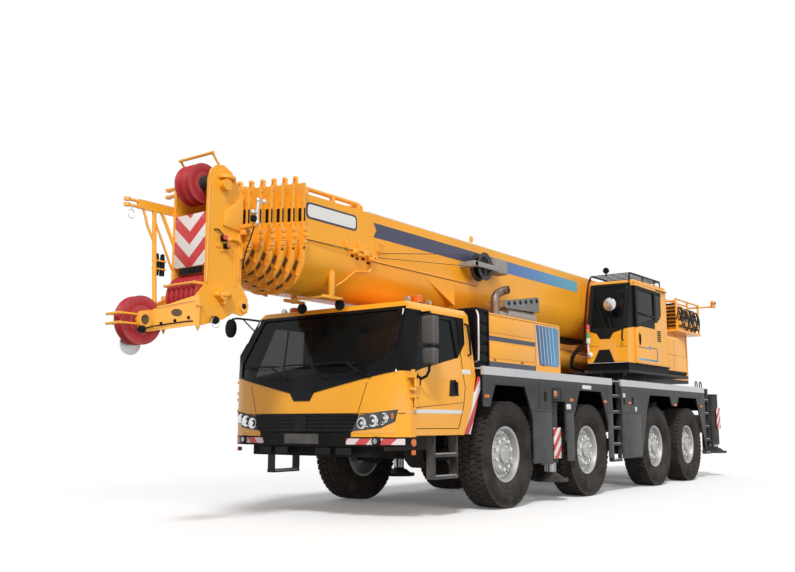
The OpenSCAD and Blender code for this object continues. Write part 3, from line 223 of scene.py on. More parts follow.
@dataclass(frozen=True)
class Striped(Finish):
    """Slanted bars of two colours, as on warning boards.

    Attributes:
        other: Linear colour of every second bar.
        pitch: Height of a pair of bars, in metres.
        lean: Drop of the bars for each metre along the board.
        along: The axis that the board runs along.
        paired: True where the bars meet in a V at the vehicle's middle.
        phase: Shift of the bars, in pairs.
    """

    other: Point = (0.85, 0.85, 0.83)
    pitch: float = 0.2
    lean: float = 1.0
    along: Axis = Axis.Y
    paired: bool = False
    phase: float = 0.0

    def colouring(self, tree: Tree, place: Socket) -> Socket:
        """Return the bars' colour; see Finish.colouring."""
        split = tree.nodes.new("ShaderNodeSeparateXYZ")
        tree.links.new(place, split.inputs["Vector"])
        across = split.outputs[self.along.name]
        if self.paired:
            across = arithmetic(tree, "ABSOLUTE", across)
        slant = arithmetic(tree, "MULTIPLY_ADD", across, self.lean, split.outputs["Z"])
        turns = arithmetic(tree, "MULTIPLY_ADD", slant, 1 / self.pitch, self.phase)
        part = arithmetic(tree, "FRACT", turns)
        bar = arithmetic(tree, "GREATER_THAN", part, 0.5)
        return mix_colour(tree, bar, (*self.colour, 1), (*self.other, 1))


@dataclass(frozen=True)
class Faded(Finish):
    """A printed band whose colour changes along the vehicle.

    Attributes:
        stops: The change's colours, each after its share of the way.
        start: Place along X where the change starts.
        end: Place along X where it ends.
    """

    stops: tuple[tuple[float, Point], ...] = ()
    start: float = 0.0
    end: float = 1.0

    def colouring(self, tree: Tree, place: Socket) -> Socket:
        """Return the band's colour; see Finish.colouring."""
        split = tree.nodes.new("ShaderNodeSeparateXYZ")
        tree.links.new(place, split.inputs["Vector"])
        share = ranged(tree, split.outputs["X"], 0.0, 1.0, self.start + AXLE_1_X, self.end + AXLE_1_X)
        ramp = tree.nodes.new("ShaderNodeValToRGB")
        ramp.color_ramp.elements[0].color = (*self.colour, 1)
        ramp.color_ramp.elements[1].color = (*self.stops[-1][1], 1)
        for place_along, colour in self.stops[:-1]:
            ramp.color_ramp.elements.new(place_along).color = (*colour, 1)
        tree.links.new(share, ramp.inputs["Fac"])
        return ramp.outputs["Color"]


@dataclass(frozen=True)
class Clear(Finish):
    """Tinted glass or a clear lens.

    Attributes:
        opacity: Share of the surface that hides what is behind it.
    """

    opacity: float = 0.55

    def wire(self, tree: Tree, shader: bpy.types.Node) -> None:
        """Join a faint smear to the roughness of a see-through shader; see Finish.wire."""
        shader.inputs["Base Color"].default_value = (*self.colour, 1)
        shader.inputs["Alpha"].default_value = self.opacity
        shader.inputs["Specular IOR Level"].default_value = self.specular
        shader.inputs["Coat Weight"].default_value = self.coat
        place = tree.nodes.new("ShaderNodeTexCoord").outputs["Object"]
        smear = ranged(tree, noise(tree, place, 3.0, 4), self.roughness, self.roughness + SMEARED_ROUGHER)
        tree.links.new(smear, shader.inputs["Roughness"])


def noise(tree: Tree, place: Socket, scale: float, detail: float) -> Socket:
    """Add a noise texture.

    Args:
        tree: The material's node tree.
        place: Coordinates.
        scale: Number of features in a metre.
        detail: Number of finer layers.

    Returns:
        The noise's value socket.
    """
    node = tree.nodes.new("ShaderNodeTexNoise")
    node.inputs["Scale"].default_value = scale
    node.inputs["Detail"].default_value = detail
    tree.links.new(place, node.inputs["Vector"])
    return node.outputs["Fac"]


def ranged(tree: Tree, value: Socket, low: float, high: float, start: float = 0.0,
        end: float = 1.0) -> Socket:
    """Add a Map Range node.

    Args:
        tree: The node tree.
        value: The value that it maps.
        low: What the start becomes.
        high: What the end becomes.
        start: The value's start.
        end: The value's end.

    Returns:
        The mapped value's socket.
    """
    node = tree.nodes.new("ShaderNodeMapRange")
    for name, number in (("From Min", start), ("From Max", end), ("To Min", low), ("To Max", high)):
        node.inputs[name].default_value = number
    tree.links.new(value, node.inputs["Value"])
    return node.outputs["Result"]


def arithmetic(tree: Tree, operation: str, *values: float | Socket) -> Socket:
    """Add a Math node.

    Args:
        tree: The material's node tree.
        operation: The node's operation.
        values: A number or a socket for each input.

    Returns:
        The result's socket.
    """
    node = tree.nodes.new("ShaderNodeMath")
    node.operation = operation
    for socket, value in zip(node.inputs, values):
        if isinstance(value, (int, float)):
            socket.default_value = value
        else:
            tree.links.new(value, socket)
    return node.outputs["Value"]


def mix_colour(tree: Tree, share: Socket, first: Sequence[float] | Socket,
        second: Sequence[float] | Socket) -> Socket:
    """Add a colour mix.

    Args:
        tree: The material's node tree.
        share: Share of the second colour.
        first: A colour or a socket.
        second: A colour or a socket.

    Returns:
        The mixed colour's socket.
    """
    node = tree.nodes.new("ShaderNodeMix")
    node.data_type = "RGBA"
    tree.links.new(share, node.inputs["Factor"])
    for socket, value in ((node.inputs[6], first), (node.inputs[7], second)):
        if isinstance(value, Socket):
            tree.links.new(value, socket)
        else:
            socket.default_value = value
    return node.outputs[2]


def lighter(colour: Point) -> Point:
    """Return the colour of a rubbed edge."""
    return tuple(min(1.0, 0.75 * c + 0.2) for c in colour)


YELLOW = Finish("yellow_paint", (0.98, 0.42, 0.022), roughness=0.36, coat=0.15, soil=0.05, grain=0.00012,
    specular=0.35)
GREY = Finish("grey_paint", (0.022, 0.024, 0.028), roughness=0.5, coat=0.03, soil=0.16, specular=0.2)
# Dark grey for the frame, pipes and hubs, and as painted shade on the turntable's lower part.
FRAME_GREY = Finish("frame_grey", (0.018, 0.018, 0.02), roughness=0.65, soil=0.25, specular=0.2)
# Black for trim, and for painted shade: dark sheets and discs for holes, openings and gaps, and painted
# shadows under parts.
BLACK = Finish("black_trim", (0.005, 0.005, 0.006), roughness=0.5, soil=0.03, grain_scale=400, wear=0.05,
    specular=0.07)
RUBBER = Finish("tyre_rubber", (0.022, 0.02, 0.019), (0.085, 0.07, 0.058), 0.8, soil=0.6, grain=0.0006,
    wear=0.05, specular=0.15)
SILVER = Finish("rim_silver", (0.46, 0.46, 0.455), roughness=0.42, metallic=0.5, soil=0.2)
NUT = Finish("wheel_nut", (0.82, 0.82, 0.81), roughness=0.3, metallic=0.6, soil=0.04)
STEEL = Finish("bright_steel", (0.55, 0.55, 0.55), roughness=0.34, metallic=0.85, soil=0.14)
RAIL = Finish("deck_rail", (0.55, 0.56, 0.57), roughness=0.4, metallic=0.3, soil=0.2)
CHROME = Finish("rod_chrome", (0.75, 0.75, 0.76), roughness=0.12, metallic=1.0, soil=0.02, grain=0.00002)
JACK_ROD = Finish("jack_rod", (0.3, 0.3, 0.31), roughness=0.2, metallic=1.0, soil=0.05, grain=0.00002)
MOTOR_GREY = Finish("motor_grey", (0.32, 0.3, 0.28), roughness=0.5, soil=0.2, specular=0.3)
RED = Finish("sheave_red", (0.44, 0.014, 0.02), (0.2, 0.06, 0.05), roughness=0.45, soil=0.1, specular=0.3)
WHITE = Finish("white_paint", (0.8, 0.8, 0.78), roughness=0.4, soil=0.08)
AMBER = Finish("amber_lens", (0.72, 0.15, 0.004), roughness=0.2, coat=0.1, soil=0.02, grain_scale=60,
    specular=0.25)
RED_LENS = Finish("red_lens", (0.62, 0.012, 0.012), roughness=0.15, coat=0.6, soil=0.03, grain_scale=60)
GREEN_LENS = Finish("green_lens", (0.02, 0.36, 0.1), roughness=0.15, coat=0.6, soil=0.03, grain_scale=60)
MIRROR = Finish("mirror_glass", (0.7, 0.72, 0.74), roughness=0.04, metallic=1.0, soil=0.0, grain=0.00001)
CONVEX = Finish("convex_mirror", (0.62, 0.62, 0.62), roughness=0.22, metallic=0.8, soil=0.03, grain=0.00001)
PLASTIC = Finish("mirror_plastic", (0.075, 0.071, 0.068), roughness=0.55, soil=0.12, specular=0.3)
FABRIC = Finish("seat_fabric", (0.016, 0.017, 0.019), roughness=0.9, soil=0.05, grain=0.0008, grain_scale=700,
    specular=0.1)
NAVY = Finish("navy_band", (0.016, 0.024, 0.062), roughness=0.35, coat=0.1, soil=0.05, specular=0.2)
GLASS = Clear("window_glass", (0.006, 0.009, 0.01), roughness=0.02, opacity=0.62, specular=0.15)
DOOR_GLASS = Clear("door_glass", (0.01, 0.016, 0.018), roughness=0.02, opacity=0.45, specular=0.15)
LENS = Clear("lamp_lens", (0.8, 0.82, 0.84), roughness=0.03, opacity=0.05, specular=0.25)
BAND = Faded("boom_band", (0.018, 0.027, 0.08), roughness=0.34, coat=0.1, soil=0.04, specular=0.2, start=-0.7,
    end=-4.0, stops=((0.1, (0.03, 0.098, 0.38)), (0.58, (0.07, 0.27, 0.58)), (1.0, (0.15, 0.54, 0.7))))
HOOD_BAND = Faded("hood_band", (0.016, 0.04, 0.15), roughness=0.35, coat=0.1, soil=0.05, specular=0.2,
    start=-1.02, end=-1.66, stops=((1.0, (0.05, 0.33, 0.62)),))
DOOR_BAND = Faded("door_band", (0.1, 0.44, 0.74), roughness=0.35, coat=0.1, soil=0.05, specular=0.2,
    start=-4.5, end=-5.3, stops=((1.0, (0.018, 0.034, 0.115)),))
GLOSS_BLACK = Finish("gloss_black", (0.005, 0.006, 0.008), roughness=0.22, soil=0.02, grain=0.00003,
    wear=0.05, specular=0.08)
# Dark brown for panel seams and a thin cable on the boom, and for painted shade: lines along folds, wedges on
# the collars, the rooster arm's holes and a line under the boom's ledge.
SEAM_AND_SHADE = Finish("panel_seam", (0.1, 0.045, 0.008), roughness=0.7, soil=0.2, specular=0.2)
PALE_BLUE = Finish("pale_blue", (0.62, 0.8, 0.9), roughness=0.35, coat=0.2, soil=0.05)
PALE_YELLOW = Finish("pale_yellow", (0.94, 0.6, 0.27), roughness=0.4, soil=0.05)
BURNT = Finish("burnt_steel", (0.2, 0.15, 0.115), (0.1, 0.075, 0.06), 0.45, 0.85, soil=0.55, grain_scale=90)
SHIELD = Finish("shield_steel", (0.2, 0.2, 0.2), (0.1, 0.08, 0.07), 0.42, 0.8, soil=0.35, grain_scale=90)
BAR_RED = (0.62, 0.022, 0.028)
CHEVRON = Striped("rear_bars", BAR_RED, roughness=0.4, soil=0.06, lean=-1.0, paired=True)
BUMPER_BARS = Striped("bumper_bars", BAR_RED, roughness=0.4, soil=0.02, pitch=0.28, lean=-1.0, paired=True,
    phase=0.232)
HEAD_BARS = Striped("head_bars", BAR_RED, roughness=0.38, soil=0.03, pitch=0.27, lean=-0.84, paired=True,
    phase=0.4333)
SIDE_BARS = Striped("side_bars", BAR_RED, roughness=0.4, soil=0.06, along=Axis.X)
FLAP_BARS = Striped("flap_bars", BAR_RED, roughness=0.4, soil=0.05, pitch=0.29, lean=1.39, along=Axis.X)


# Mesh tools


class Solid:
    """A mesh under construction, placed from axle 1."""

    def __init__(self) -> None:
        """Start with nothing."""
        self.bm = bmesh.new()

    def _bevelled(self, edges: Iterable[bmesh.types.BMEdge], width: float, segments: int) -> None:
        """Round the given edges."""
        if width > 0:
            bmesh.ops.bevel(self.bm, geom=list(edges), offset=width, offset_type="OFFSET", segments=segments,
                profile=0.5, affect="EDGES", clamp_overlap=True, material=-1)

    def box(self, low: Point, high: Point, bevel: float = 0.004, segments: int = 2) -> Solid:
        """Add a block with rounded edges.

        Args:
            low: Its lowest corner.
            high: Its highest corner.
            bevel: Width of the rounding.
            segments: Steps of the rounding.

        Returns:
            This solid.
        """
        a = Vector(map(min, low, high))
        b = Vector(map(max, low, high))
        matrix = Matrix.Translation((a + b) / 2) @ Matrix.Diagonal((*(b - a), 1))
        made = bmesh.ops.create_cube(self.bm, size=1.0, matrix=matrix)["verts"]
        edges = {e for v in made for e in v.link_edges}
        self._bevelled(edges, min(bevel, 0.45 * min(b - a)), segments)
        return self

    def prism(self, outline: Sequence[Flat], axis: Axis, start: float, end: float, bevel: float = 0.004,
            segments: int = 2) -> Solid:
        """Add an outline drawn out along an axis.

        Args:
            outline: Its corners in the plane across the axis, as XZ for Y, YZ for X and XY for Z.
            axis: The axis.
            start: Where it starts along the axis.
            end: Where it ends.
            bevel: Width of the rounding.
            segments: Steps of the rounding.

        Returns:
            This solid.
        """
        verts = [self.bm.verts.new(lifted(p, axis, start)) for p in outline]
        face = self.bm.faces.new(verts)
        grown = bmesh.ops.extrude_face_region(self.bm, geom=[face])["geom"]
        moved = [g for g in grown if isinstance(g, bmesh.types.BMVert)]
        shift = Vector(lifted((0, 0), axis, end - start))
        bmesh.ops.translate(self.bm, verts=moved, vec=shift)
        edges = {e for v in verts + moved for e in v.link_edges}
        faces = {f for v in verts + moved for f in v.link_faces}
        bmesh.ops.recalc_face_normals(self.bm, faces=list(faces))
        self._bevelled(edges, bevel, segments)
        return self

    def rod(self, start: Point, end: Point, radius: float, far_radius: float | None = None,
            sides: int = 16) -> Solid:
        """Add a round bar or a cone between two points.

        Args:
            start: Middle of the first end.
            end: Middle of the other end.
            radius: Radius at the first end.
            far_radius: Radius at the other end, or None for the same.
            sides: Number of facets.

        Returns:
            This solid.
        """
        a, b = Vector(start), Vector(end)
        turn = (b - a).to_track_quat("Z", "Y").to_matrix().to_4x4()
        bmesh.ops.create_cone(self.bm, cap_ends=True, segments=sides, radius1=radius, radius2=radius
            if far_radius is None else far_radius, depth=(b - a).length,
            matrix=Matrix.Translation((a + b) / 2) @ turn)
        return self

    def lathe(self, profile: Sequence[Flat], centre: Point, axis: Axis, sides: int = 48,
            sign: int = 1) -> Solid:
        """Add a turned shape.

        Args:
            profile: Points of radius and distance along the axis, from one end to the other.
            centre: Point on the axis where that distance is 0.
            axis: The axis.
            sides: Steps of the turn.
            sign: -1 to turn the shape round, towards the axis's other end.

        Returns:
            This solid.
        """
        across = {Axis.X: Vector((0, 0, 1)), Axis.Y: Vector((1, 0, 0)), Axis.Z: Vector((1, 0, 0))}[axis]
        along = Vector(lifted((0, 0), axis, sign))
        verts = [self.bm.verts.new(Vector(centre) + across * r + along * d) for r, d in profile]
        edges = [self.bm.edges.new(pair) for pair in zip(verts, verts[1:])]
        bmesh.ops.spin(self.bm, geom=verts + edges, cent=centre, axis=along, angle=math.tau, steps=sides,
            use_merge=True)
        bmesh.ops.remove_doubles(self.bm, verts=self.bm.verts, dist=1e-5)
        bmesh.ops.recalc_face_normals(self.bm, faces=self.bm.faces)
        return self

    def tube(self, path: Sequence[Point], radius: float, sides: int = 10, rounds: int = 0) -> Solid:
        """Add a bent round bar along a path.

        Args:
            path: Points of its middle line.
            radius: Its radius.
            sides: Number of facets.
            rounds: How often its bends are eased.

        Returns:
            This solid.
        """
        points = [Vector(p) for p in path]
        for _ in range(rounds):
            eased = [p.lerp(q, share) for p, q in zip(points, points[1:]) for share in (0.25, 0.75)]
            points = [points[0], *eased[1:-1], points[-1]]
        ring = bmesh.ops.create_circle(self.bm, cap_ends=True, segments=sides, radius=radius)["verts"]
        normal = Vector((0, 0, 1))
        here = Vector((0, 0, 0))
        for i, point in enumerate(points):
            ahead = points[min(i + 1, len(points) - 1)] - points[max(i - 1, 0)]
            turn = normal.rotation_difference(ahead.normalized())
            if i > 0:
                edges = list({e for v in ring for e in v.link_edges if all(w in set(ring) for w in e.verts)})
                grown = bmesh.ops.extrude_edge_only(self.bm, edges=edges)["geom"]
                ring = [g for g in grown if isinstance(g, bmesh.types.BMVert)]
            matrix = Matrix.Translation(point) @ turn.to_matrix().to_4x4() @ Matrix.Translation(-here)
            bmesh.ops.transform(self.bm, matrix=matrix, verts=ring)
            normal, here = ahead.normalized(), point
        edges = [e for e in {e for v in ring for e in v.link_edges} if e.is_boundary]
        bmesh.ops.contextual_create(self.bm, geom=edges)
        bmesh.ops.recalc_face_normals(self.bm, faces=self.bm.faces)
        return self

    def panel(self, outline: Sequence[Flat], axis: Axis, surface: Callable[[float, float], float],
            depth: float, cuts: tuple[Sequence[float], Sequence[float]] = ((), ())) -> Solid:
        """Add a sheet whose face follows a surface.

        Args:
            outline: Its corners in the plane across the axis, as for prism.
            axis: The axis that it faces along.
            surface: Gives the face's place along the axis at a flat point.
            depth: How far the sheet reaches from its face along the axis.
            cuts: Places in the outline's two directions where the sheet may bend.

        Returns:
            This solid.
        """
        sheet = bmesh.new()
        sheet.faces.new([sheet.verts.new(lifted(p, axis, 0.0)) for p in outline])
        for across, places in enumerate(cuts):
            normal = lifted((1.0 - across, float(across)), axis, 0.0)
            for place in places:
                bmesh.ops.bisect_plane(sheet, geom=[*sheet.verts, *sheet.edges, *sheet.faces],
                    plane_co=Vector(normal) * place, plane_no=normal)
        for vert in sheet.verts:
            flat = flattened(vert.co, axis)
            vert.co = lifted(flat, axis, surface(*flat))
        grown = bmesh.ops.extrude_face_region(sheet, geom=sheet.faces[:])["geom"]
        moved = [g for g in grown if isinstance(g, bmesh.types.BMVert)]
        bmesh.ops.translate(sheet, verts=moved, vec=lifted((0.0, 0.0), axis, depth))
        bmesh.ops.recalc_face_normals(sheet, faces=sheet.faces)
        part = bpy.data.meshes.new("part")
        sheet.to_mesh(part)
        sheet.free()
        self.bm.from_mesh(part)
        bpy.data.meshes.remove(part)
        return self

    def bolts(self, places: Iterable[Point], axis: Axis, radius: float, height: float,
            sign: int = 1) -> Solid:
        """Add hexagon bolt heads.

        Args:
            places: Middles of the faces that they sit on.
            axis: The axis that they stand along.
            radius: Radius over their corners.
            height: Height of a head.
            sign: -1 where they stand towards the axis's negative end.

        Returns:
            This solid.
        """
        up = Vector(lifted((0, 0), axis, sign))
        for place in places:
            base = Vector(place)
            self.rod(base - 0.002 * up, base + height * up, radius, 0.92 * radius, sides=6)
        return self

    def mirrored(self) -> Solid:
        """Turn the shape into its mirror image on the vehicle's other side."""
        bmesh.ops.scale(self.bm, vec=(1, -1, 1), verts=self.bm.verts)
        bmesh.ops.reverse_faces(self.bm, faces=self.bm.faces)
        return self

    def piece(self, name: str, body: str, finish: Finish, slot: str = "", replaces: Sequence[str] = (),
            smooth: float = 35.0) -> bpy.types.Object:
        """Make the shape a piece of the crane.

        Args:
            name: The piece's name.
            body: The CAD body that it moves with.
            finish: Its finish.
            slot: Not used.
            replaces: CAD nodes that it stands for.
            smooth: Edges under this angle, in degrees, are shaded smooth.

        Returns:
            The new object.
        """
        bmesh.ops.translate(self.bm, verts=self.bm.verts, vec=(AXLE_1_X, 0, 0))
        mesh = bpy.data.meshes.new(name)
        self.bm.to_mesh(mesh)
        self.bm.free()
        return settle(name, mesh, body, finish, replaces, smooth)


def solids(count: int) -> list[Solid]:
    """Return that many empty solids."""
    return [Solid() for _ in range(count)]


def dress(body: str, **pieces: tuple) -> None:
    """Make several shapes pieces of the crane that move with one CAD body.

    Args:
        body: The CAD body.
        pieces: For each piece's name its solid, finish and, where it has them, slot and replaced CAD nodes.
    """
    for name, (solid, finish, *rest) in pieces.items():
        solid.piece(name, body, finish, *rest)


def lifted(point: Flat, axis: Axis, along: float) -> Point:
    """Return a flat point lifted off its plane along the axis."""
    u, v = point
    return {Axis.X: (along, u, v), Axis.Y: (u, along, v), Axis.Z: (u, v, along)}[axis]


def flattened(point: Sequence[float], axis: Axis) -> Flat:
    """Return a point's two places across the axis."""
    x, y, z = point
    return {Axis.X: (y, z), Axis.Y: (x, z), Axis.Z: (x, y)}[axis]


def rounded_outline(u0: float, u1: float, v0: float, v1: float, radius: float) -> list[Flat]:
    """Return the corners of a rectangle with round corners.

    Args:
        u0: Its low side.
        u1: Its high side.
        v0: Its bottom.
        v1: Its top.
        radius: Radius of its corners.

    Returns:
        The outline's points.
    """
    middles = ((u1 - radius, v1 - radius), (u0 + radius, v1 - radius), (u0 + radius, v0 + radius),
        (u1 - radius, v0 + radius))
    return [(u + radius * math.cos(math.radians(90 * k + 15 * i)), v
        + radius * math.sin(math.radians(90 * k + 15 * i))) for k, (u, v) in enumerate(middles)
        for i in range(7)]


def oval(u: float, v: float, wide: float, tall: float, count: int, shift: float = 0.0) -> list[Flat]:
    """Return points round an oval.

    Args:
        u: Its middle's first place.
        v: Its middle's second place.
        wide: Half its width.
        tall: Half its height.
        count: Number of points.
        shift: Turn of the first point, in steps.

    Returns:
        The points.
    """
    turns = [math.tau * (k + shift) / count for k in range(count)]
    return [(u + wide * math.cos(turn), v + tall * math.sin(turn)) for turn in turns]


def inside(point: Flat, outline: Sequence[Flat]) -> bool:
    """Tell whether a flat point lies in an outline."""
    u, v = point
    crossings = sum(1 for (a, b), (c, d) in zip(outline, [*outline[1:], outline[0]])
        if (b > v) != (d > v) and u < a + (v - b) / (d - b) * (c - a))
    return crossings % 2 == 1


def settle(name: str, mesh: bpy.types.Mesh, body: str, finish: Finish, replaces: Sequence[str],
        smooth: float) -> bpy.types.Object:
    """Link a mesh as a piece that rides on a CAD body; see Solid.piece."""
    mesh.shade_smooth()
    mesh.set_sharp_from_angle(angle=math.radians(smooth))
    mesh.materials.clear()
    mesh.materials.append(finish.build())
    made = bpy.data.objects.new(name, mesh)
    bpy.context.scene.collection.objects.link(made)
    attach(made, body)
    if replaces:
        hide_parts(*replaces)
    log.info("%s rides on %s: %d faces", name, body, len(mesh.polygons))
    return made


@dataclass(frozen=True)
class Zone:
    """A part of a CAD node that has a finish of its own.

    Attributes:
        finish: Its finish, or None where its faces are left out.
        low: A corner of its box.
        high: The opposite corner.
        outline: Its corners in XZ where it isn't the whole box.
        heart: A point that its faces look to, where only those belong to it.
    """

    finish: Finish | None
    low: Point
    high: Point
    outline: tuple[Flat, ...] = ()
    heart: Point | None = None

    def cut(self, bm: bmesh.types.BMesh) -> None:
        """Cut a mesh along the zone's edges."""
        planes = [(corner, Vector([float(i == k) for i in range(3)])) for k in range(3)
            for corner in (self.low, self.high)]
        for (a, b), (c, d) in zip(self.outline, [*self.outline[1:], *self.outline[:1]]):
            planes.append(((a, 0.0, b), Vector((d - b, 0.0, a - c))))
        for place, normal in planes:
            faces = [f for f in bm.faces if self.touches(f)]
            edges = {e for f in faces for e in f.edges}
            verts = {v for f in faces for v in f.verts}
            bmesh.ops.bisect_plane(bm, geom=[*verts, *edges, *faces], dist=1e-6, plane_no=normal,
                plane_co=Vector(place) + Vector((AXLE_1_X, 0, 0)))

    def touches(self, face: bmesh.types.BMFace) -> bool:
        """Tell whether a face reaches into the zone's box."""
        for k in range(3):
            places = [v.co[k] - (AXLE_1_X if k == 0 else 0.0) for v in face.verts]
            if max(places) < min(self.low[k], self.high[k]) or min(places) > max(self.low[k], self.high[k]):
                return False
        return True

    def holds(self, face: bmesh.types.BMFace) -> bool:
        """Tell whether a face, cut along the zone's edges, lies in it."""
        middle = face.calc_center_median() - Vector((AXLE_1_X, 0, 0))
        if not all(min(a, b) <= c <= max(a, b) for a, b, c in zip(self.low, self.high, middle)):
            return False
        if self.heart and face.normal.dot(Vector(self.heart) - middle) <= 0:
            return False
        return not self.outline or inside((middle.x, middle.z), self.outline)


@dataclass
class Frame:
    """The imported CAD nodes, and how they are dressed."""

    nodes: dict[str, bpy.types.Object]
    body_of: dict[str, str]

    def paint(self, node: str, finish: Finish) -> None:
        """Give a CAD node a finish.

        Args:
            node: The node's name.
            finish: Its finish.
        """
        mesh = self.nodes[node].data
        mesh.materials.clear()
        mesh.materials.append(finish.build())
        log.info("%s is finished in %s", node, finish.name)

    def rounded(self, node: str, finish: Finish, width: float, slot: str = "", segments: int = 2,
            zones: Sequence[Zone] = ()) -> bpy.types.Object:
        """Stand a copy of a CAD node, with rounded edges, in its place.

        Args:
            node: The node's name.
            finish: Its finish.
            width: Width of the rounding.
            slot: Not used.
            segments: Steps of the rounding.
            zones: Parts with a finish of their own, a later one over an earlier one.

        Returns:
            The new object.
        """
        bm = bmesh.new()
        bm.from_mesh(self.nodes[node].data)
        bmesh.ops.remove_doubles(bm, verts=bm.verts, dist=WELD)
        bmesh.ops.dissolve_limit(bm, angle_limit=math.radians(FLAT_ANGLE), verts=bm.verts, edges=bm.edges,
            use_dissolve_boundaries=False)
        edges = [e for e in bm.edges if len(e.link_faces) == 2
            and e.calc_face_angle(0.0) > math.radians(EDGE_ANGLE)]
        bmesh.ops.bevel(bm, geom=edges, offset=width, offset_type="OFFSET", segments=segments, profile=0.5,
            affect="EDGES", clamp_overlap=True, material=-1)
        for index, zone in enumerate(zones, start=1):
            zone.cut(bm)
            bm.normal_update()
            held = [f for f in bm.faces if zone.holds(f)]
            if zone.finish is None:
                bmesh.ops.delete(bm, geom=held, context="FACES")
                continue
            for face in held:
                face.material_index = index
        mesh = bpy.data.meshes.new(f"{node}_dressed")
        bm.to_mesh(mesh)
        indices = [f.material_index for f in bm.faces]
        bm.free()
        made = settle(f"{node}_dressed", mesh, self.body_of[node], finish, (node,), SMOOTH_ANGLE)
        for zone in zones:
            mesh.materials.append((zone.finish or finish).build())
        mesh.polygons.foreach_set("material_index", indices)
        made.modifiers.new("Flat faces", "WEIGHTED_NORMAL").keep_sharp = True
        return made


# Sub-assemblies


@dataclass
class Wheels:
    """Eight wheels: block-tread tyres on bolted silver rims."""

    frame: Frame
    axles: tuple[float, ...] = (0.0, -2.4, -5.145, -6.795)
    track: float = 1.15
    radius: float = 0.667
    half_width: float = 0.1925
    flange: float = 0.352
    seat: float = 0.33
    blocks: int = 52
    block_depth: float = 0.015

    def build(self) -> None:
        """Dress every wheel."""
        for number, x in enumerate(self.axles, start=1):
            for side in SIDES:
                node = f"wheel_{number}_{side.name.lower()}"
                centre = (x, side.value * self.track, self.radius)
                self.tyre(node, centre)
                self.rim(node, centre, side)

    def tyre(self, node: str, centre: Point) -> None:
        """Build a tyre with its tread and shoulder blocks.

        Args:
            node: The CAD node that it stands for.
            centre: The wheel's middle.
        """
        w, base = self.half_width, self.radius - self.block_depth
        solid = Solid()
        flank = [(self.seat + 0.001, 0.124), (self.flange + 0.006, 0.127), (self.flange + 0.03, 0.158),
            (self.flange + 0.045, 0.163), (self.flange + 0.05, 0.171), (self.flange + 0.062, 0.173),
            (self.flange + 0.066, 0.179), (self.flange + 0.078, 0.1805), (self.flange + 0.082, 0.178),
            (self.flange + 0.12, w - 0.003), (self.flange + 0.125, w), (self.flange + 0.14, w),
            (self.flange + 0.145, w - 0.003), (self.flange + 0.17, w), (self.flange + 0.225, w - 0.004),
            (self.flange + 0.232, w - 0.009), (base - 0.008, w - 0.022), (base, w - 0.05)]
        profile = flank + [(base + 0.001, 0.06), (base + 0.001, -0.06)] + [(a, -b)
            for a, b in reversed(flank)]
        solid.lathe(profile + [profile[0]], centre, Axis.Y, sides=72)
        self.tread(solid, centre, base)
        solid.piece(f"{node}_tyre", node, RUBBER, replaces=(node,), slot="tyre_rubber")

    def tread(self, solid: Solid, centre: Point, base: float) -> None:
        """Add the blocks of the tread, in four staggered rows.

        Args:
            solid: The tyre.
            centre: The wheel's middle.
            base: Radius between the blocks.
        """
        rows = ((0.048, 0.043, 0.0, 0.3), (-0.048, 0.043, 0.5, -0.3), (0.137, 0.04, 0.35, 0.12),
            (-0.137, 0.04, 0.85, -0.12))
        length = 0.78 * math.tau * self.radius / self.blocks
        for offset, half, phase, skew in rows:
            shoulder = abs(offset) > 0.1
            top = self.radius - (0.004 if shoulder else 0.0)
            depth = top - base + (0.026 if shoulder else 0.006)
            for k in range(self.blocks):
                angle = math.tau * (k + phase) / self.blocks
                place = (Matrix.Translation(centre) @ Matrix.Rotation(angle, 4, "Y")
                    @ Matrix.Translation((0, offset, top - depth / 2)) @ Matrix.Rotation(skew, 4, "Z")
                    @ Matrix.Diagonal((length, 2 * half, depth, 1)))
                bmesh.ops.create_cube(solid.bm, size=1.0, matrix=place)

    def rim(self, node: str, centre: Point, side: Side) -> None:
        """Build a rim with its disc, hub and rings of bolts.

        Args:
            node: The CAD node and body.
            centre: The wheel's middle.
            side: The side that its face looks to.
        """
        f, s = self.flange, self.seat
        profile = [(s, -0.118), (f - 0.004, -0.12), (f, -0.126), (f - 0.002, -0.137), (s - 0.012, -0.138),
            (s - 0.014, -0.03), (0.3, 0.016), (0.165, 0.016), (0.165, -0.06), (0.076, -0.06), (0.076, 0.13),
            (0.0, 0.13), (0.0, 0.143), (0.105, 0.143), (0.118, 0.136), (0.122, 0.105), (0.15, 0.095),
            (0.165, 0.085), (0.215, 0.08), (0.232, 0.066), (0.246, 0.044), (0.296, 0.04), (0.306, 0.046),
            (0.316, 0.115), (0.322, 0.13), (f - 0.008, 0.139), (f - 0.002, 0.137), (f, 0.132),
            (f - 0.004, 0.122), (s, 0.118)]
        solid = Solid().lathe(profile + [profile[0]], centre, Axis.Y, sides=64, sign=side.value)
        nuts = Solid()
        out = side.value
        rings = ((26, 0.2765, 0.041, 0.0175, 0.022), (10, 0.191, 0.082, 0.027, 0.036),
            (6, 0.092, 0.142, 0.012, 0.01))
        for count, ring, depth, size, tall in rings:
            places = [(x, centre[1] + out * depth, z) for x, z in oval(centre[0], centre[2], ring, ring,
                count, 0.5)]
            nuts.bolts(places, Axis.Y, size, tall, sign=out)
        solid.rod((centre[0] + 0.325, centre[1] + out * 0.1, centre[2]),
            (centre[0] + 0.3, centre[1] + out * 0.15, centre[2] + 0.004), 0.006, sides=8)
        solid.piece(f"{node}_rim", node, SILVER, slot="bright_metal")
        nuts.piece(f"{node}_nuts", node, NUT, slot="bright_metal")


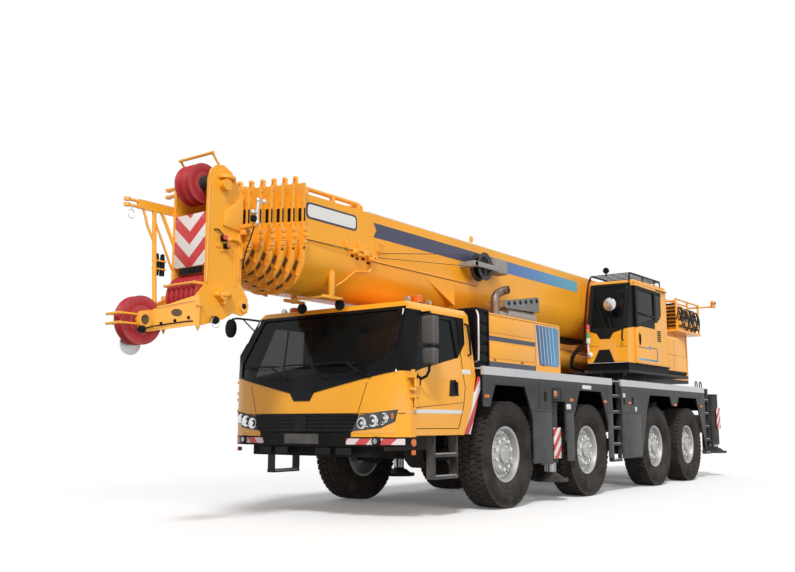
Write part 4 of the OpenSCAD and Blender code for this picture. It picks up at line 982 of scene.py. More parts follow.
@dataclass
class Carrier:
    """The running gear's frame, deck, skirts, ladders and outriggers."""

    frame: Frame
    half_width: float = 1.375
    jacks: tuple[Point, ...] = ((-1.34, 1.22, 0.265), (-1.1, -1.22, 0.265), (-8.6, 1.22, 0.46),
        (-8.36, -1.22, 0.46))

    def build(self) -> None:
        """Dress the carrier."""
        for node in ("chassis_frame", "axle_beams", "engine_block"):
            self.frame.paint(node, FRAME_GREY)
        for number in range(1, 5):
            for side in SIDES:
                self.frame.paint(f"knuckle_{number}_{side.name.lower()}", FRAME_GREY)
        self.frame.rounded("side_skirts", GREY, 0.005, "grey_paint")
        self.frame.rounded("deck_plates", RAIL, 0.005, "bright_metal")
        self.frame.paint("ladders", FRAME_GREY)
        self.treads()
        self.markers()
        self.wings()
        self.switch_boxes()
        self.rear_lamps()
        self.outriggers()

    def treads(self) -> None:
        """Put bright ribbed treads on the rungs and steps."""
        solid = Solid()
        flights = [(x0, x1, self.half_width - 0.022, 0.066, z0 + k * (z1 - z0) / 5 + 0.035)
            for x0, x1, z0, z1 in ((-3.53, -3.23, 0.465, 1.705), (-7.94, -7.7, 0.465, 1.735))
            for k in range(5)]
        flights += [(1.165, 1.595, 1.303, 0.112, z) for z in (0.465, 0.71)]
        for x0, x1, y, deep, z in flights:
            for side in SIDES:
                out = side.value
                solid.box((x0, out * (y - deep), z - 0.02), (x1, out * y, z + 0.006), 0.003)
                for rib in range(round(deep / 0.013)):
                    rib_y = out * (y - 0.006 - 0.013 * rib)
                    solid.rod((x0 + 0.005, rib_y, z + 0.006), (x1 - 0.005, rib_y, z + 0.006), 0.003, sides=6)
        solid.piece("step_treads", "carrier", STEEL, slot="bright_metal")

    def markers(self) -> None:
        """Add the amber side markers, panel seams, ledges, catches and lashing eyes."""
        amber, dark, ledge, eyes, labels = solids(5)
        for side in SIDES:
            out = side.value
            y = out * self.half_width
            for x in (0.595, -1.732, -2.898, -3.86, -5.97, -7.42):
                amber.box((x - 0.05, y - out * 0.004, 1.36), (x + 0.05, y + out * 0.014, 1.4), 0.006)
            for x in (-0.774, -2.98, -3.94, -7.4):
                dark.box((x - 0.004, y - out * 0.002, 1.24), (x + 0.004, y + out * 0.0015, 1.635), 0.0)
            for x in (-0.952, -3.66, -4.02):
                dark.box((x - 0.035, y - out * 0.002, 1.35), (x + 0.035, y + out * 0.006, 1.48), 0.004)
            shift = 0.0 if side is Side.LEFT else 0.24
            for x0, x1 in ((-1.13 + shift, -0.56), (-1.82, -1.55 + shift), (-3.19, -2.98), (-4.34, -3.57),
                    (-7.66, -7.6)):
                ledge.box((x0, y - out * 0.012, 1.214), (x1, y + out * 0.01, 1.232), 0.004)
                ledge.box((x0 + 0.02, y - out * 0.012, 0.53), (x1 - 0.02, y + out * 0.006, 1.205), 0.006)
            for x0, x1, z0, z1 in ((-2.4, -2.11, 1.55, 1.605), (-1.7, -1.57, 1.25, 1.32),
                    (-3.675, -3.615, 1.462, 1.525), (-4.15, -4.095, 1.245, 1.32)):
                labels.box((x0, y - out * 0.002, z0), (x1, y + out * 0.0115, z1), 0.001)
            for x in (-2.9, -3.8, -7.3, -7.55):
                eyes.tube([(x - 0.06, y - out * 0.03, 1.735), (x - 0.055, y - out * 0.03, 1.82),
                    (x - 0.03, y - out * 0.03, 1.85), (x + 0.03, y - out * 0.03, 1.85),
                    (x + 0.055, y - out * 0.03, 1.82), (x + 0.06, y - out * 0.03, 1.735)], 0.011, 8)
        dress("carrier", side_markers=(amber, AMBER), skirt_seams=(dark, BLACK, "black_paint"),
            skirt_ledges=(ledge, GREY, "grey_paint"), lashing_eyes=(eyes, BLACK, "black_paint"),
            blank_labels=(labels, WHITE))

    def wings(self) -> None:
        """Add dark sheets inside the wheel arches: painted shade that fills the gaps between the deck, the
        skirts and the wheels.
        """
        arch_shade = Solid()
        # Painted shade: dark sheets that fill the gaps inside the arches.
        for out in (1, -1):
            for x0, x1 in ((0.6, -3.18), (-3.58, -7.66)):
                arch_shade.box((x0, out * 0.452, 1.38), (x1, out * 0.47, 1.712), 0.004)
            for x in (-4.36, -7.6, -3.16, -1.52, -0.92, 0.62):
                arch_shade.box((x - 0.01, out * 0.46, 1.3), (x + 0.01, out * 1.345, 1.712), 0.004)
        arch_shade.piece("arch_liners", "carrier", BLACK, slot="black_paint")

    def switch_boxes(self) -> None:
        """Add the black switch boxes over the front jacks, with their yellow and red switches."""
        box, yellow, red = solids(3)
        for side in SIDES:
            out = side.value
            x = -1.285 if side is Side.LEFT else -1.045
            y = out * self.half_width
            for x0, x1, z0, z1 in ((-0.14, 0.14, 1.52, 1.535), (-0.14, 0.14, 1.37, 1.385),
                    (-0.14, -0.125, 1.37, 1.53), (0.125, 0.14, 1.37, 1.53)):
                box.box((x + x0, y - out * 0.03, z0), (x + x1, y + out * 0.006, z1), 0.003)
            box.box((x - 0.13, y - out * 0.028, 1.38), (x + 0.13, y - out * 0.02, 1.525), 0.002)
            yellow.box((x + 0.0, y - out * 0.022, 1.42), (x + 0.075, y + out * 0.004, 1.495), 0.008)
            red.lathe([(0.0, 0.0), (0.014, 0.0), (0.014, 0.012), (0.022, 0.014), (0.022, 0.024),
                (0.0, 0.028)], (x + 0.038, y - out * 0.004, 1.457), Axis.Y, 20, out)
        dress("carrier", switch_boxes=(box, BLACK, "black_paint"), switch_bases=(yellow, YELLOW),
            switch_knobs=(red, RED_LENS))

    def rear_lamps(self) -> None:
        """Add the rear lamps and warning boards."""
        red, amber, board, dark = solids(4)
        for side in SIDES:
            out = side.value
            dark.box((-8.856, out * 0.7, 0.875), (-8.839, out * 1.19, 1.045), 0.005)
            red.box((-8.868, out * 0.9, 0.9), (-8.852, out * 1.17, 1.02), 0.008)
            amber.box((-8.868, out * 0.72, 0.9), (-8.852, out * 0.88, 1.02), 0.008)
            board.box((-8.846, out * 0.25, 0.88), (-8.839, out * 0.68, 1.04), 0.002)
        dress("carrier", rear_lamp_boxes=(dark, BLACK, "black_paint"), rear_lamps=(red, RED_LENS),
            turn_lamps=(amber, AMBER), rear_boards=(board, CHEVRON))

    def outriggers(self) -> None:
        """Dress the beams, jacks, warning boards and feet."""
        names = ("front_left", "front_right", "rear_left", "rear_right")
        for name, (x, y, z) in zip(names, self.jacks):
            self.frame.rounded(f"beam_{name}", GREY, 0.006, "grey_paint")
            rod = Zone(JACK_ROD, (x - 0.5, y - 0.5, z + 0.13), (x + 0.5, y + 0.5, 1.8))
            self.frame.rounded(f"jack_{name}", FRAME_GREY, 0.004, "rod_chrome", 2, [rod])
            out = 1 if y > 0 else -1
            low = z + 0.31 if z < 0.4 else z + 0.49
            board = Solid().box((x - 0.105, y + out * 0.111, low), (x + 0.105, y + out * 0.125, low + 0.42),
                0.003)
            board.piece(f"board_{name}", f"beam_{name}", SIDE_BARS)
            trim = Solid()
            trim.bolts([(x + dx, y + out * 0.125, zz) for dx in (-0.085, 0.085)
                for zz in (low + 0.03, low + 0.39)], Axis.Y, 0.009, 0.006, sign=out)
            trim.lathe([(0.11, 0.0), (0.122, 0.004), (0.122, 0.03), (0.11, 0.034)], (x, y, 1.3), Axis.Z, 32)
            trim.lathe([(0.0, 0.0), (0.1, 0.0), (0.118, 0.012), (0.118, 0.03), (0.05, 0.036), (0.0, 0.036)],
                (x, y, 1.61), Axis.Z, 32)
            trim.piece(f"jack_trim_{name}", f"beam_{name}", FRAME_GREY)


@dataclass
class DriverCab:
    """The carrier's cab: shell, glass, doors, bumper, lamps and mirrors."""

    frame: Frame
    half_width: float = 1.343
    belt: float = 1.25
    waist: float = 1.612
    waist_half: float = 1.283
    eaves: float = 2.37
    eaves_half: float = 1.175
    front: float = 2.4
    crown: float = 0.157
    corner: float = 0.12
    sill: float = 1.552
    rake: float = 0.5695
    surround: tuple[Flat, ...] = ((2.26, 1.612), (1.975, 2.325), (0.8, 2.325), (0.845, 2.005), (1.05, 1.815),
        (1.79, 1.66))
    pane: tuple[Flat, ...] = ((1.955, 1.617), (1.697, 2.268), (1.092, 2.268), (1.055, 1.82), (1.79, 1.66))
    heart: Point = (1.5, 0.0, 1.75)

    def build(self) -> None:
        """Dress the cab."""
        shade = [Zone(BLACK, (0.6, -1.4, 0.6), (2.5, 1.4, 2.5), heart=self.heart)]
        shade += [Zone(BLACK, (0.7, s.value * 0.9, 1.6), (2.3, s.value * 1.4, 2.34), self.surround)
            for s in SIDES]
        shade += [Zone(BLACK, (1.7, s.value * 1.04, 1.618), (2.42, s.value * 1.4, 2.335)) for s in SIDES]
        shade.append(Zone(None, (1.86, -1.62, 2.05), (2.3, -1.205, 2.5)))
        self.frame.rounded("carrier_cab", YELLOW, 0.012, "yellow_paint", 3, shade)
        self.frame.paint("carrier_cab_glass", GLASS)
        self.frame.paint("cab_interior", FABRIC)
        corners = [Zone(YELLOW, (1.9, s.value * 0.7, 0.905), (2.5, s.value * 1.4, 1.2)) for s in SIDES]
        self.frame.rounded("front_bumper", BLACK, 0.004, "black_paint", 2, corners)
        self.surrounds()
        self.wipers()
        self.headlamps()
        self.grille()
        self.bumper_trim()
        self.roof()
        for side in SIDES:
            self.door(side)
            self.flap(side)
        self.mirror()
        self.hung_mirror()

    def nose(self, y: float, z: float) -> float:
        """Return how far forward the cab's front is at that place across and up."""
        t = abs(y) / self.half_width
        upright = self.front - self.crown * t**2 - self.corner * t**10
        return min(upright, self.front - self.rake * max(0.0, z - self.sill))

    def side(self, z: float) -> float:
        """Return the cab's half-width at that height."""
        if z < self.belt:
            return self.half_width
        if z < self.waist:
            share = (z - self.belt) / (self.waist - self.belt)
            return self.half_width - share * (self.half_width - self.waist_half)
        lean = (self.waist_half - self.eaves_half) / (self.eaves - self.waist)
        return self.waist_half - (z - self.waist) * lean

    def on_front(self, solid: Solid, outline: Sequence[Flat], lift: float, depth: float = 0.006) -> Solid:
        """Add a sheet that follows the cab's front.

        Args:
            solid: The solid that it is added to.
            outline: Its corners, across and up.
            lift: How far its face stands off the cab.
            depth: Its thickness.

        Returns:
            The solid.
        """
        across = [0.06 * k for k in range(-22, 23)]
        return solid.panel(outline, Axis.X, lambda y, z: self.nose(y, z) + lift, -depth,
            (across, self.levels()))

    def levels(self) -> list[float]:
        """Return the heights at which sheets on the front may bend."""
        return [self.sill + 0.015 * k for k in range(16)] + [1.8 + 0.05 * k for k in range(13)]

    def on_side(self, solid: Solid, outline: Sequence[Flat], lift: float, depth: float = 0.004) -> Solid:
        """Add a sheet that follows the cab's left side.

        Args:
            solid: The solid that it is added to.
            outline: Its corners, along and up.
            lift: How far its face stands off the cab.
            depth: Its thickness.

        Returns:
            The solid.
        """
        return solid.panel(outline, Axis.Y, lambda x, z: self.side(z) + lift, -depth,
            ((), (self.belt, self.waist)))

    def surrounds(self) -> None:
        """Add the black band round the windscreen, with its point in the middle, and the pillar strips."""
        black, bright = Solid(), Solid()
        self.on_front(black, [(-1.235, 1.66), (-1.235, 1.615), (-0.185, 1.396), (-0.125, 1.305),
            (0.125, 1.305), (0.185, 1.396), (1.235, 1.615), (1.235, 1.66), (1.133, 1.604), (-1.133, 1.604)],
            0.008)
        for out in (1, -1):
            self.on_front(black, [(out * 1.13, 1.6), (out * 1.235, 1.62), (out * 1.15, 2.365),
                (out * 1.058, 2.338)], 0.008)
            bright.tube([(self.nose(1.222, 1.6) + 0.012, out * 1.224, 1.6),
                (self.nose(1.135, 2.33) + 0.014, out * 1.134, 2.33)], 0.009, 8)
        self.on_front(black, [(-1.15, 2.368), (-1.061, 2.33), (1.061, 2.33), (1.15, 2.368)], 0.008)
        dress("carrier", windscreen_band=(black, GLOSS_BLACK, "black_paint"),
            pillar_strips=(bright, STEEL, "bright_metal"))
        seams = Solid()
        for out in (1, -1):
            self.on_front(seams, [(out * 0.905, 1.5), (out * 0.898, 1.5), (out * 0.785, 1.165),
                (out * 0.792, 1.165)], 0.0012, 0.002)
        self.on_front(seams, [(-1.3, 1.157), (1.3, 1.157), (1.3, 1.163), (-1.3, 1.163)], 0.0012, 0.002)
        seams.piece("front_seams", "carrier", BLACK, slot="black_paint")

    def wipers(self) -> None:
        """Add three wipers, parked to one side."""
        solid = Solid()
        for pivot in (-0.251, 0.372, 0.935):
            def at(y: float, z: float, lift: float) -> Point:
                """Return a place off the windscreen."""
                return (self.nose(y, z) + lift, y, z)
            solid.lathe([(0.0, 0.0), (0.024, 0.0), (0.022, 0.025), (0.0, 0.032)], at(pivot, 1.57, 0.0),
                Axis.X, 16)
            solid.tube([at(pivot, 1.575, 0.026), at(pivot - 0.06, 1.6, 0.034), at(pivot - 0.22, 1.675, 0.034),
                at(pivot - 0.33, 1.722, 0.028)], 0.0075, 8)
            solid.tube([at(pivot - 0.03, 1.565, 0.022), at(pivot - 0.2, 1.65, 0.03),
                at(pivot - 0.3, 1.7, 0.028)], 0.0045, 6)
            solid.tube([at(pivot - 0.76 + 0.115 * k, 1.722 + 0.006 * math.sin(k), 0.02) for k in range(6)],
                0.008, 6)
            solid.tube([at(pivot - 0.62, 1.724, 0.03), at(pivot - 0.45, 1.728, 0.04),
                at(pivot - 0.28, 1.724, 0.03)], 0.006, 6)
        solid.piece("wipers", "carrier", BLACK, slot="black_paint")

    def headlamps(self) -> None:
        """Add the headlamps: bezel, bright bowls and clear cover; and the fog lamps."""
        bezel, bowls, lens, amber, infill, fog = solids(6)
        low = [(0.7, 0.945), (1.21, 0.945), (1.225, 1.075), (1.062, 1.0), (0.722, 0.966)]
        shape = [(0.728, 0.97), (1.062, 1.005), (1.21, 1.07), (1.238, 1.2), (0.816, 1.146)]
        inner = [(0.748, 0.978), (1.058, 1.013), (1.2, 1.075), (1.224, 1.19), (0.822, 1.138)]
        for out in (1, -1):
            self.on_front(bezel, [(out * y, z) for y, z in shape], 0.005, 0.02)
            self.on_front(infill, [(out * y, z) for y, z in low], 0.003, 0.02)
            self.on_front(bezel, [(out * y, z) for y, z in inner], 0.0075, 0.004)
            for y, z, r in ((0.845, 1.055, 0.058), (0.985, 1.08, 0.06), (1.11, 1.11, 0.05)):
                x = self.nose(y, z) + 0.006
                bowls.lathe([(r + 0.006, -0.002), (r + 0.006, 0.01), (r, 0.011), (0.75 * r, 0.002),
                    (0.35 * r, -0.002), (0.3 * r, 0.01), (0.0, 0.013)], (x, out * y, z), Axis.X, 28)
            for k in range(4):
                bowls.box((self.nose(0.9 + 0.06 * k, 1.02) + 0.004, out * (0.885 + 0.06 * k), 1.012
                    + 0.008 * k), (self.nose(0.9 + 0.06 * k, 1.02) + 0.013, out * (0.925 + 0.06 * k), 1.024
                    + 0.008 * k), 0.003)
            amber.box((self.nose(1.185, 1.12) + 0.002, out * 1.165, 1.1),
                (self.nose(1.185, 1.12) + 0.012, out * 1.205, 1.16), 0.005)
            self.on_front(lens, [(out * y, z) for y, z in shape], 0.019, 0.003)
            x = self.nose(1.02, 0.85)
            bezel.lathe([(0.0, -0.02), (0.046, -0.02), (0.05, 0.0), (0.048, 0.035), (0.038, 0.042),
                (0.036, 0.03), (0.0, 0.028)], (x, out * 1.02, 0.862), Axis.X, 28)
            fog.lathe([(0.0, 0.028), (0.035, 0.03), (0.03, 0.038), (0.0, 0.042)], (x, out * 1.02, 0.862),
                Axis.X, 24)
        dress("carrier", headlamp_bezels=(bezel, BLACK, "black_paint", ("lamps",)),
            headlamp_bowls=(bowls, CHROME), fog_lamps=(fog, JACK_ROD), headlamp_infill=(infill, YELLOW),
            front_turn_lamps=(amber, AMBER), headlamp_covers=(lens, LENS, "lamp_lens"))

    def grille(self) -> None:
        """Add the slats of the grille and its middle post."""
        solid = Solid()
        self.on_front(solid, [(-0.735, 0.955), (0.735, 0.955), (0.805, 1.15), (-0.805, 1.15)], 0.0015, 0.02)
        for z in (0.968, 1.01, 1.052, 1.094, 1.134):
            reach = 0.73 + (z - 0.955) * 0.33
            self.on_front(solid, [(-reach, z), (reach, z), (reach, z + 0.02), (-reach, z + 0.02)], 0.014,
                0.014)
        self.on_front(solid, [(-0.085, 0.96), (0.085, 0.96), (0.085, 1.15), (-0.085, 1.15)], 0.02, 0.02)
        solid.piece("grille_slats", "carrier", BLACK, slot="black_paint")

    def bumper_trim(self) -> None:
        """Add the bumper's warning bars, blank plate, tow covers, side reflectors and lower lip."""
        bars, plate, amber, lip = solids(4)
        for out in (1, -1):
            self.on_front(bars, [(out * 0.64, 0.823), (out * 1.3, 0.823), (out * 1.3, 0.888),
                (out * 0.64, 0.888)], 0.003, 0.003)
            amber.lathe([(0.0, 0.0), (0.042, 0.0), (0.04, 0.012), (0.0, 0.018)], (2.075, out * 1.342, 0.845),
                Axis.Y, 24, out)
            amber.box((2.04, out * 1.338, 0.715), (2.11, out * 1.352, 0.765), 0.005)
            for y in (0.22, 0.5):
                self.on_front(lip, [(out * y, 0.71), (out * (y + 0.2), 0.71), (out * (y + 0.2), 0.785),
                    (out * y, 0.785)], 0.002, 0.012)
        self.on_front(plate, [(-0.26, 0.825), (0.26, 0.825), (0.26, 0.935), (-0.26, 0.935)], 0.007, 0.008)
        dress("carrier", bumper_bars=(bars, BUMPER_BARS), blank_plate=(plate, FRAME_GREY),
            bumper_reflectors=(amber, AMBER), bumper_lip=(lip, BLACK))

    def roof(self) -> None:
        """Add the roof's beacons and round lamps."""
        amber, dark, clear = solids(3)
        for out in (1, -1):
            x, y = 1.5, out * 0.987
            dark.lathe([(0.0, -0.004), (0.088, -0.004), (0.088, 0.012), (0.074, 0.026), (0.0, 0.026)],
                (x, y, 2.43), Axis.Z, 32)
            profile = [(0.0, 0.025), (0.068, 0.025)]
            profile += [(0.068 + 0.002 * (k % 2), 0.03 + 0.01 * k) for k in range(8)]
            amber.lathe(profile + [(0.062, 0.112), (0.04, 0.122), (0.0, 0.125)], (x, y, 2.43), Axis.Z, 36)
            for lamp_x, size in ((1.7, 1.0), (1.27, 0.9)):
                dark.rod((lamp_x, y, 2.42), (lamp_x, y, 2.455), 0.014, sides=12)
                clear.lathe([(0.0, -0.036), (0.03, -0.03), (0.042 * size, 0.0), (0.04 * size, 0.012),
                    (0.0, 0.018)], (lamp_x, y, 2.478), Axis.X, 24)
        dress("carrier", roof_beacons=(amber, AMBER, "lamp_lens"), beacon_bases=(dark, BLACK, "black_paint"),
            roof_lamps=(clear, STEEL))

    def door(self, side: Side) -> None:
        """Dress a door: black round its window, pane, skin below it, handle, stripe, and a thin dark line of
        painted shade along the fold in its skin.

        Args:
            side: The door's side.
        """
        name = f"cab_door_{side.name.lower()}"
        out = side.value
        zones = [Zone(BLACK, (0.6, out * 0.9, 0.6), (2.3, out * 1.4, 2.5), heart=self.heart),
            Zone(BLACK, (0.7, out * 0.9, 1.6), (2.3, out * 1.4, 2.34), self.surround)]
        if side is Side.LEFT:
            zones.append(Zone(None, (1.85, 1.306, 1.545), (2.03, 1.6, 2.25)))
        self.frame.rounded(name, YELLOW, 0.005, "yellow_paint", 2, zones)
        pane, handle, stripe, crease, skin = solids(5)
        self.on_side(pane, self.pane, -0.018, 0.006)
        self.on_side(skin, [(1.965, 1.608), (1.79, 1.662), (1.055, 1.818), (1.04, 1.8), (1.04, 1.6),
            (1.17, 1.556), (1.3, 1.556)], 0.0015, 0.026)
        self.on_side(handle, [(1.275, 1.55), (1.15, 1.555), (1.135, 1.37), (1.345, 1.36)], 0.004)
        handle.box((1.165, self.side(1.47) - 0.01, 1.4), (1.2, self.side(1.47) + 0.035, 1.53), 0.008)
        handle.lathe([(0.0, 0.0), (0.02, 0.0), (0.02, 0.006), (0.0, 0.008)],
            (1.98, self.side(1.31) - 0.002, 1.31), Axis.Y, 20)
        self.on_side(stripe, [(1.11, 1.162), (2.035, 1.162), (2.035, 1.204), (1.09, 1.204)], 0.002, 0.002)
        # Painted shade: a thin dark strip along the fold in the door's skin.
        self.on_side(crease, [(1.03, 1.292), (2.038, 1.218), (2.038, 1.225), (1.028, 1.299)], 0.0015, 0.002)
        self.on_side(handle, [(1.4, 1.735), (1.425, 1.735), (1.425, 2.265), (1.4, 2.265)], -0.008, 0.01)
        for part, label, finish, slot in ((pane, "pane", DOOR_GLASS, "window_glass"),
                (handle, "handle", BLACK, "black_paint"), (stripe, "stripe", WHITE, ""),
                (crease, "crease", SEAM_AND_SHADE, ""), (skin, "skin", YELLOW, "yellow_paint")):
            if side is Side.RIGHT:
                part.mirrored()
            part.piece(f"{name}_{label}", name, finish, slot=slot)

    def mirror(self) -> None:
        """Add the left door's two-part mirror on its bent arms."""
        body = "cab_door_left"
        heads, arms, glass = solids(3)
        heads.box((1.865, 1.375, 1.905), (1.985, 1.558, 2.228), 0.035, 4)
        heads.box((1.875, 1.385, 1.69), (1.985, 1.555, 1.872), 0.032, 4)
        arms.tube([(1.95, self.side(1.52) - 0.01, 1.52), (1.97, 1.36, 1.53), (1.96, 1.44, 1.565),
            (1.945, 1.462, 1.62), (1.935, 1.465, 1.7)], 0.016, 10)
        arms.tube([(1.935, 1.465, 1.86), (1.935, 1.465, 1.92)], 0.02, 10)
        arms.tube([(1.71, self.side(2.29) - 0.012, 2.29), (1.74, 1.26, 2.3), (1.84, 1.4, 2.285),
            (1.91, 1.455, 2.26), (1.93, 1.465, 2.21)], 0.014, 10)
        arms.box((1.9, self.side(1.52) - 0.02, 1.465), (2.0, self.side(1.52) + 0.028, 1.575), 0.012, 3)
        glass.box((1.858, 1.398, 1.935), (1.868, 1.538, 2.2), 0.004)
        glass.box((1.868, 1.405, 1.712), (1.878, 1.537, 1.85), 0.004)
        heads.piece(f"{body}_mirror", body, PLASTIC, slot="black_paint")
        arms.piece(f"{body}_mirror_arms", body, BLACK, slot="black_paint")
        glass.piece(f"{body}_mirror_glass", body, MIRROR)

    def hung_mirror(self) -> None:
        """Add the oval mirror that hangs off the roof's right front corner."""
        arm, glass = Solid(), Solid()
        pane = oval(-1.47, 2.255, 0.07, 0.1, 28)
        arm.prism(oval(-1.47, 2.255, 0.088, 0.12, 28), Axis.X, 2.142, 2.192, 0.016, 3)
        arm.tube([(1.92, -1.15, 2.345), (2.02, -1.29, 2.368), (2.115, -1.425, 2.386), (2.15, -1.462, 2.375),
            (2.166, -1.47, 2.335)], 0.013, 10)
        arm.tube([(2.07, -1.36, 2.378), (2.02, -1.28, 2.28), (1.985, -1.21, 2.205), (1.965, -1.185, 2.19)],
            0.009, 8)
        glass.prism(pane, Axis.X, 2.136, 2.144, 0.003)
        arm.prism(pane, Axis.X, 2.19, 2.1945, 0.003)
        dress("carrier", hung_mirror=(arm, BLACK, "black_paint"), hung_mirror_glass=(glass, MIRROR))

    def flap(self, side: Side) -> None:
        """Add the barred flap behind the cab's door, the stripe's front end, a blank label and a grab rail.

        Args:
            side: The flap's side.
        """
        flap = Solid().prism([(1.048, 0.925), (0.68, 1.615), (0.655, 1.615), (0.655, 1.45), (0.885, 0.925)],
            Axis.Y, 1.3, 1.324, 0.004)
        label, rail = Solid(), Solid()
        self.on_side(label, [(2.075, 1.162), (2.116, 1.162), (2.116, 1.204), (2.075, 1.204)], 0.002, 0.002)
        self.on_side(label, [(0.8, 1.635), (0.985, 1.635), (0.985, 1.69), (0.8, 1.69)], 0.002, 0.002)
        rail.tube([(0.8, self.side(1.86) - 0.01, 1.86), (0.8, self.side(1.88) + 0.04, 1.88),
            (0.79, self.side(2.05) + 0.045, 2.05), (0.785, self.side(2.24) + 0.04, 2.24),
            (0.785, self.side(2.26) - 0.01, 2.26)], 0.014, 10)
        for part, name, finish in ((flap, "barred_flap", FLAP_BARS), (label, "cab_labels", WHITE),
                (rail, "cab_grab_rail", BLACK)):
            if side is Side.RIGHT:
                part.mirrored()
            part.piece(f"{name}_{side.name.lower()}", "carrier", finish)


@dataclass
class Hoods:
    """Hoods behind the cab, air intake and exhaust."""

    frame: Frame
    face: float = 1.22

    def build(self) -> None:
        """Dress the hoods."""
        column = [Zone(BLACK, (0.315, 0.5, 1.6), (0.75, 1.4, 2.6))]
        self.frame.rounded("engine_hoods", YELLOW, 0.06, "yellow_paint", 6, column)
        self.bands()
        self.intake()
        self.exhaust()

    def bands(self) -> None:
        """Add the hoods' coloured bands, end panels, seams and catches."""
        navy, fade, seams, lines = solids(4)
        for out in (1, -1):
            y = out * self.face
            lift = out * 0.002
            navy.box((-0.98, y - lift, 2.098), (0.275, y + lift, 2.158), 0.0)
            navy.box((-0.98, y - lift, 1.752), (0.275, y + lift, 1.832), 0.0)
            fade.prism([(-1.1, 1.85), (-1.66, 1.85), (-1.695, 1.89), (-1.695, 2.37), (-1.66, 2.405),
                (-1.0, 2.405)], Axis.Y, y - lift, y + 1.5 * lift, 0.0)
            for k in range(6):
                x = -1.06 - 0.1 * k
                lines.prism([(x, 1.87), (x - 0.012, 1.87), (x + 0.058, 2.415), (x + 0.07, 2.415)], Axis.Y, y,
                    y + 1.8 * lift, 0.0)
            for x in (-0.38, -0.985):
                seams.box((x - 0.003, y - lift, 1.75), (x + 0.003, y + 0.5 * lift, 2.43), 0.0)
            seams.box((-1.7, y - lift, 2.425), (0.28, y + 0.5 * lift, 2.431), 0.0)
            for x in (0.12, -0.6, -1.2):
                seams.box((x - 0.03, y - lift, 1.845), (x + 0.03, y + 3 * lift, 1.862), 0.002)
        dress("carrier", hood_bands=(navy, NAVY), hood_end_panels=(fade, HOOD_BAND),
            hood_end_lines=(lines, PALE_BLUE), hood_seams=(seams, SEAM_AND_SHADE))
        relief = Solid()
        for out in (1, -1):
            y = out * self.face
            relief.box((-0.93, y - out * 0.01, 2.2), (0.24, y + out * 0.007, 2.4), 0.006, 3)
            relief.box((-0.93, y - out * 0.01, 1.875), (0.24, y + out * 0.007, 2.06), 0.006, 3)
        relief.piece("hood_relief", "carrier", YELLOW)

    def intake(self) -> None:
        """Add the stacked louvres of the air intake and its grab rail."""
        dark, rail = Solid(), Solid()
        for k in range(5):
            z = 1.8 + 0.125 * k
            dark.box((0.37, 1.22, z), (0.6, 1.266, z + 0.095), 0.014, 3)
        dark.box((0.335, 1.235, 1.75), (0.362, 1.275, 2.46), 0.008)
        dark.box((0.335, 0.74, 2.44), (0.615, 1.262, 2.482), 0.012)
        rail.tube([(0.625, 1.235, 1.8), (0.625, 1.285, 1.82), (0.625, 1.29, 2.0), (0.625, 1.29, 2.36),
            (0.625, 1.275, 2.42), (0.6, 1.24, 2.45)], 0.014, 10)
        dress("carrier", intake_louvres=(dark, BLACK, "black_paint"),
            intake_rail=(rail, STEEL, "bright_metal"))

    def exhaust(self) -> None:
        """Build the bent exhaust pipe, its silencer and its heat shield, whose holes, like the pipe's mouth,
        are dark patches of painted shade.
        """
        pipe, box, shield, holes = solids(4)
        y = 0.83
        bend = [(-0.57 - 0.16 * (1 - math.cos(a)), y, 2.7 + 0.16 * math.sin(a))
            for a in [math.radians(11 * k) for k in range(8)]]
        pipe.tube([(-0.57, y, 2.44), (-0.57, y, 2.6), *bend[:6], (-0.705, y + 0.03, 2.868),
            (-0.725, y + 0.075, 2.885), (-0.735, y + 0.13, 2.893)], 0.06, 20)
        pipe.tube([(-0.57, y, 2.455), (-0.57, y, 2.49)], 0.08, 20)
        # Painted shade: a dark disc inside the pipe's mouth.
        holes.rod((-0.733, y + 0.12, 2.8918), (-0.7356, y + 0.1325, 2.8934), 0.051, sides=20)
        box.lathe([(0.0, 0.0), (0.09, 0.0), (0.108, 0.02), (0.108, 0.8), (0.09, 0.82), (0.0, 0.82)],
            (-1.66, 0.8, 2.565), Axis.X, 40)
        for x in (-1.52, -1.24, -0.98):
            box.lathe([(0.106, 0.0), (0.114, 0.0), (0.114, 0.035), (0.106, 0.035), (0.106, 0.0)],
                (x, 0.8, 2.565), Axis.X, 40)
            box.box((x, 0.72, 2.44), (x + 0.035, 0.88, 2.5), 0.005)
        box.rod((-0.84, y, 2.55), (-0.58, y, 2.55), 0.05)
        shield.prism([(-1.7, 2.665), (-1.7, 2.885), (-1.66, 2.893), (-0.68, 2.735), (-0.68, 2.655),
            (-0.74, 2.635)], Axis.Y, 0.905, 0.92, 0.003)
        shield.box((-1.7, 0.66, 2.67), (-1.685, 0.92, 2.885), 0.003)
        shield.prism([(-1.7, 2.875), (-1.66, 2.893), (-0.68, 2.735), (-0.68, 2.725), (-1.66, 2.88)], Axis.Y,
            0.66, 0.92, 0.002)
        # Painted shade: dark patches for the holes in the heat shield and its end.
        for k in range(6):
            x, z = -0.8 - 0.165 * k, 2.69 + 0.0245 * k
            holes.prism([(x + 0.03, z), (x - 0.012, z - 0.018), (x - 0.045, z + 0.012), (x - 0.04, z + 0.04),
                (x + 0.01, z + 0.05), (x + 0.034, z + 0.026)], Axis.Y, 0.915, 0.9225, 0.003)
        for k in range(5):
            holes.box((-1.703, 0.69 + 0.045 * k, 2.7), (-1.698, 0.718 + 0.045 * k, 2.85), 0.004)
        dress("carrier", exhaust_pipe=(pipe, BURNT, "", ("exhaust_stack",)), exhaust_box=(box, MOTOR_GREY),
            heat_shield=(shield, SHIELD, "bright_metal"), shield_holes=(holes, BLACK))


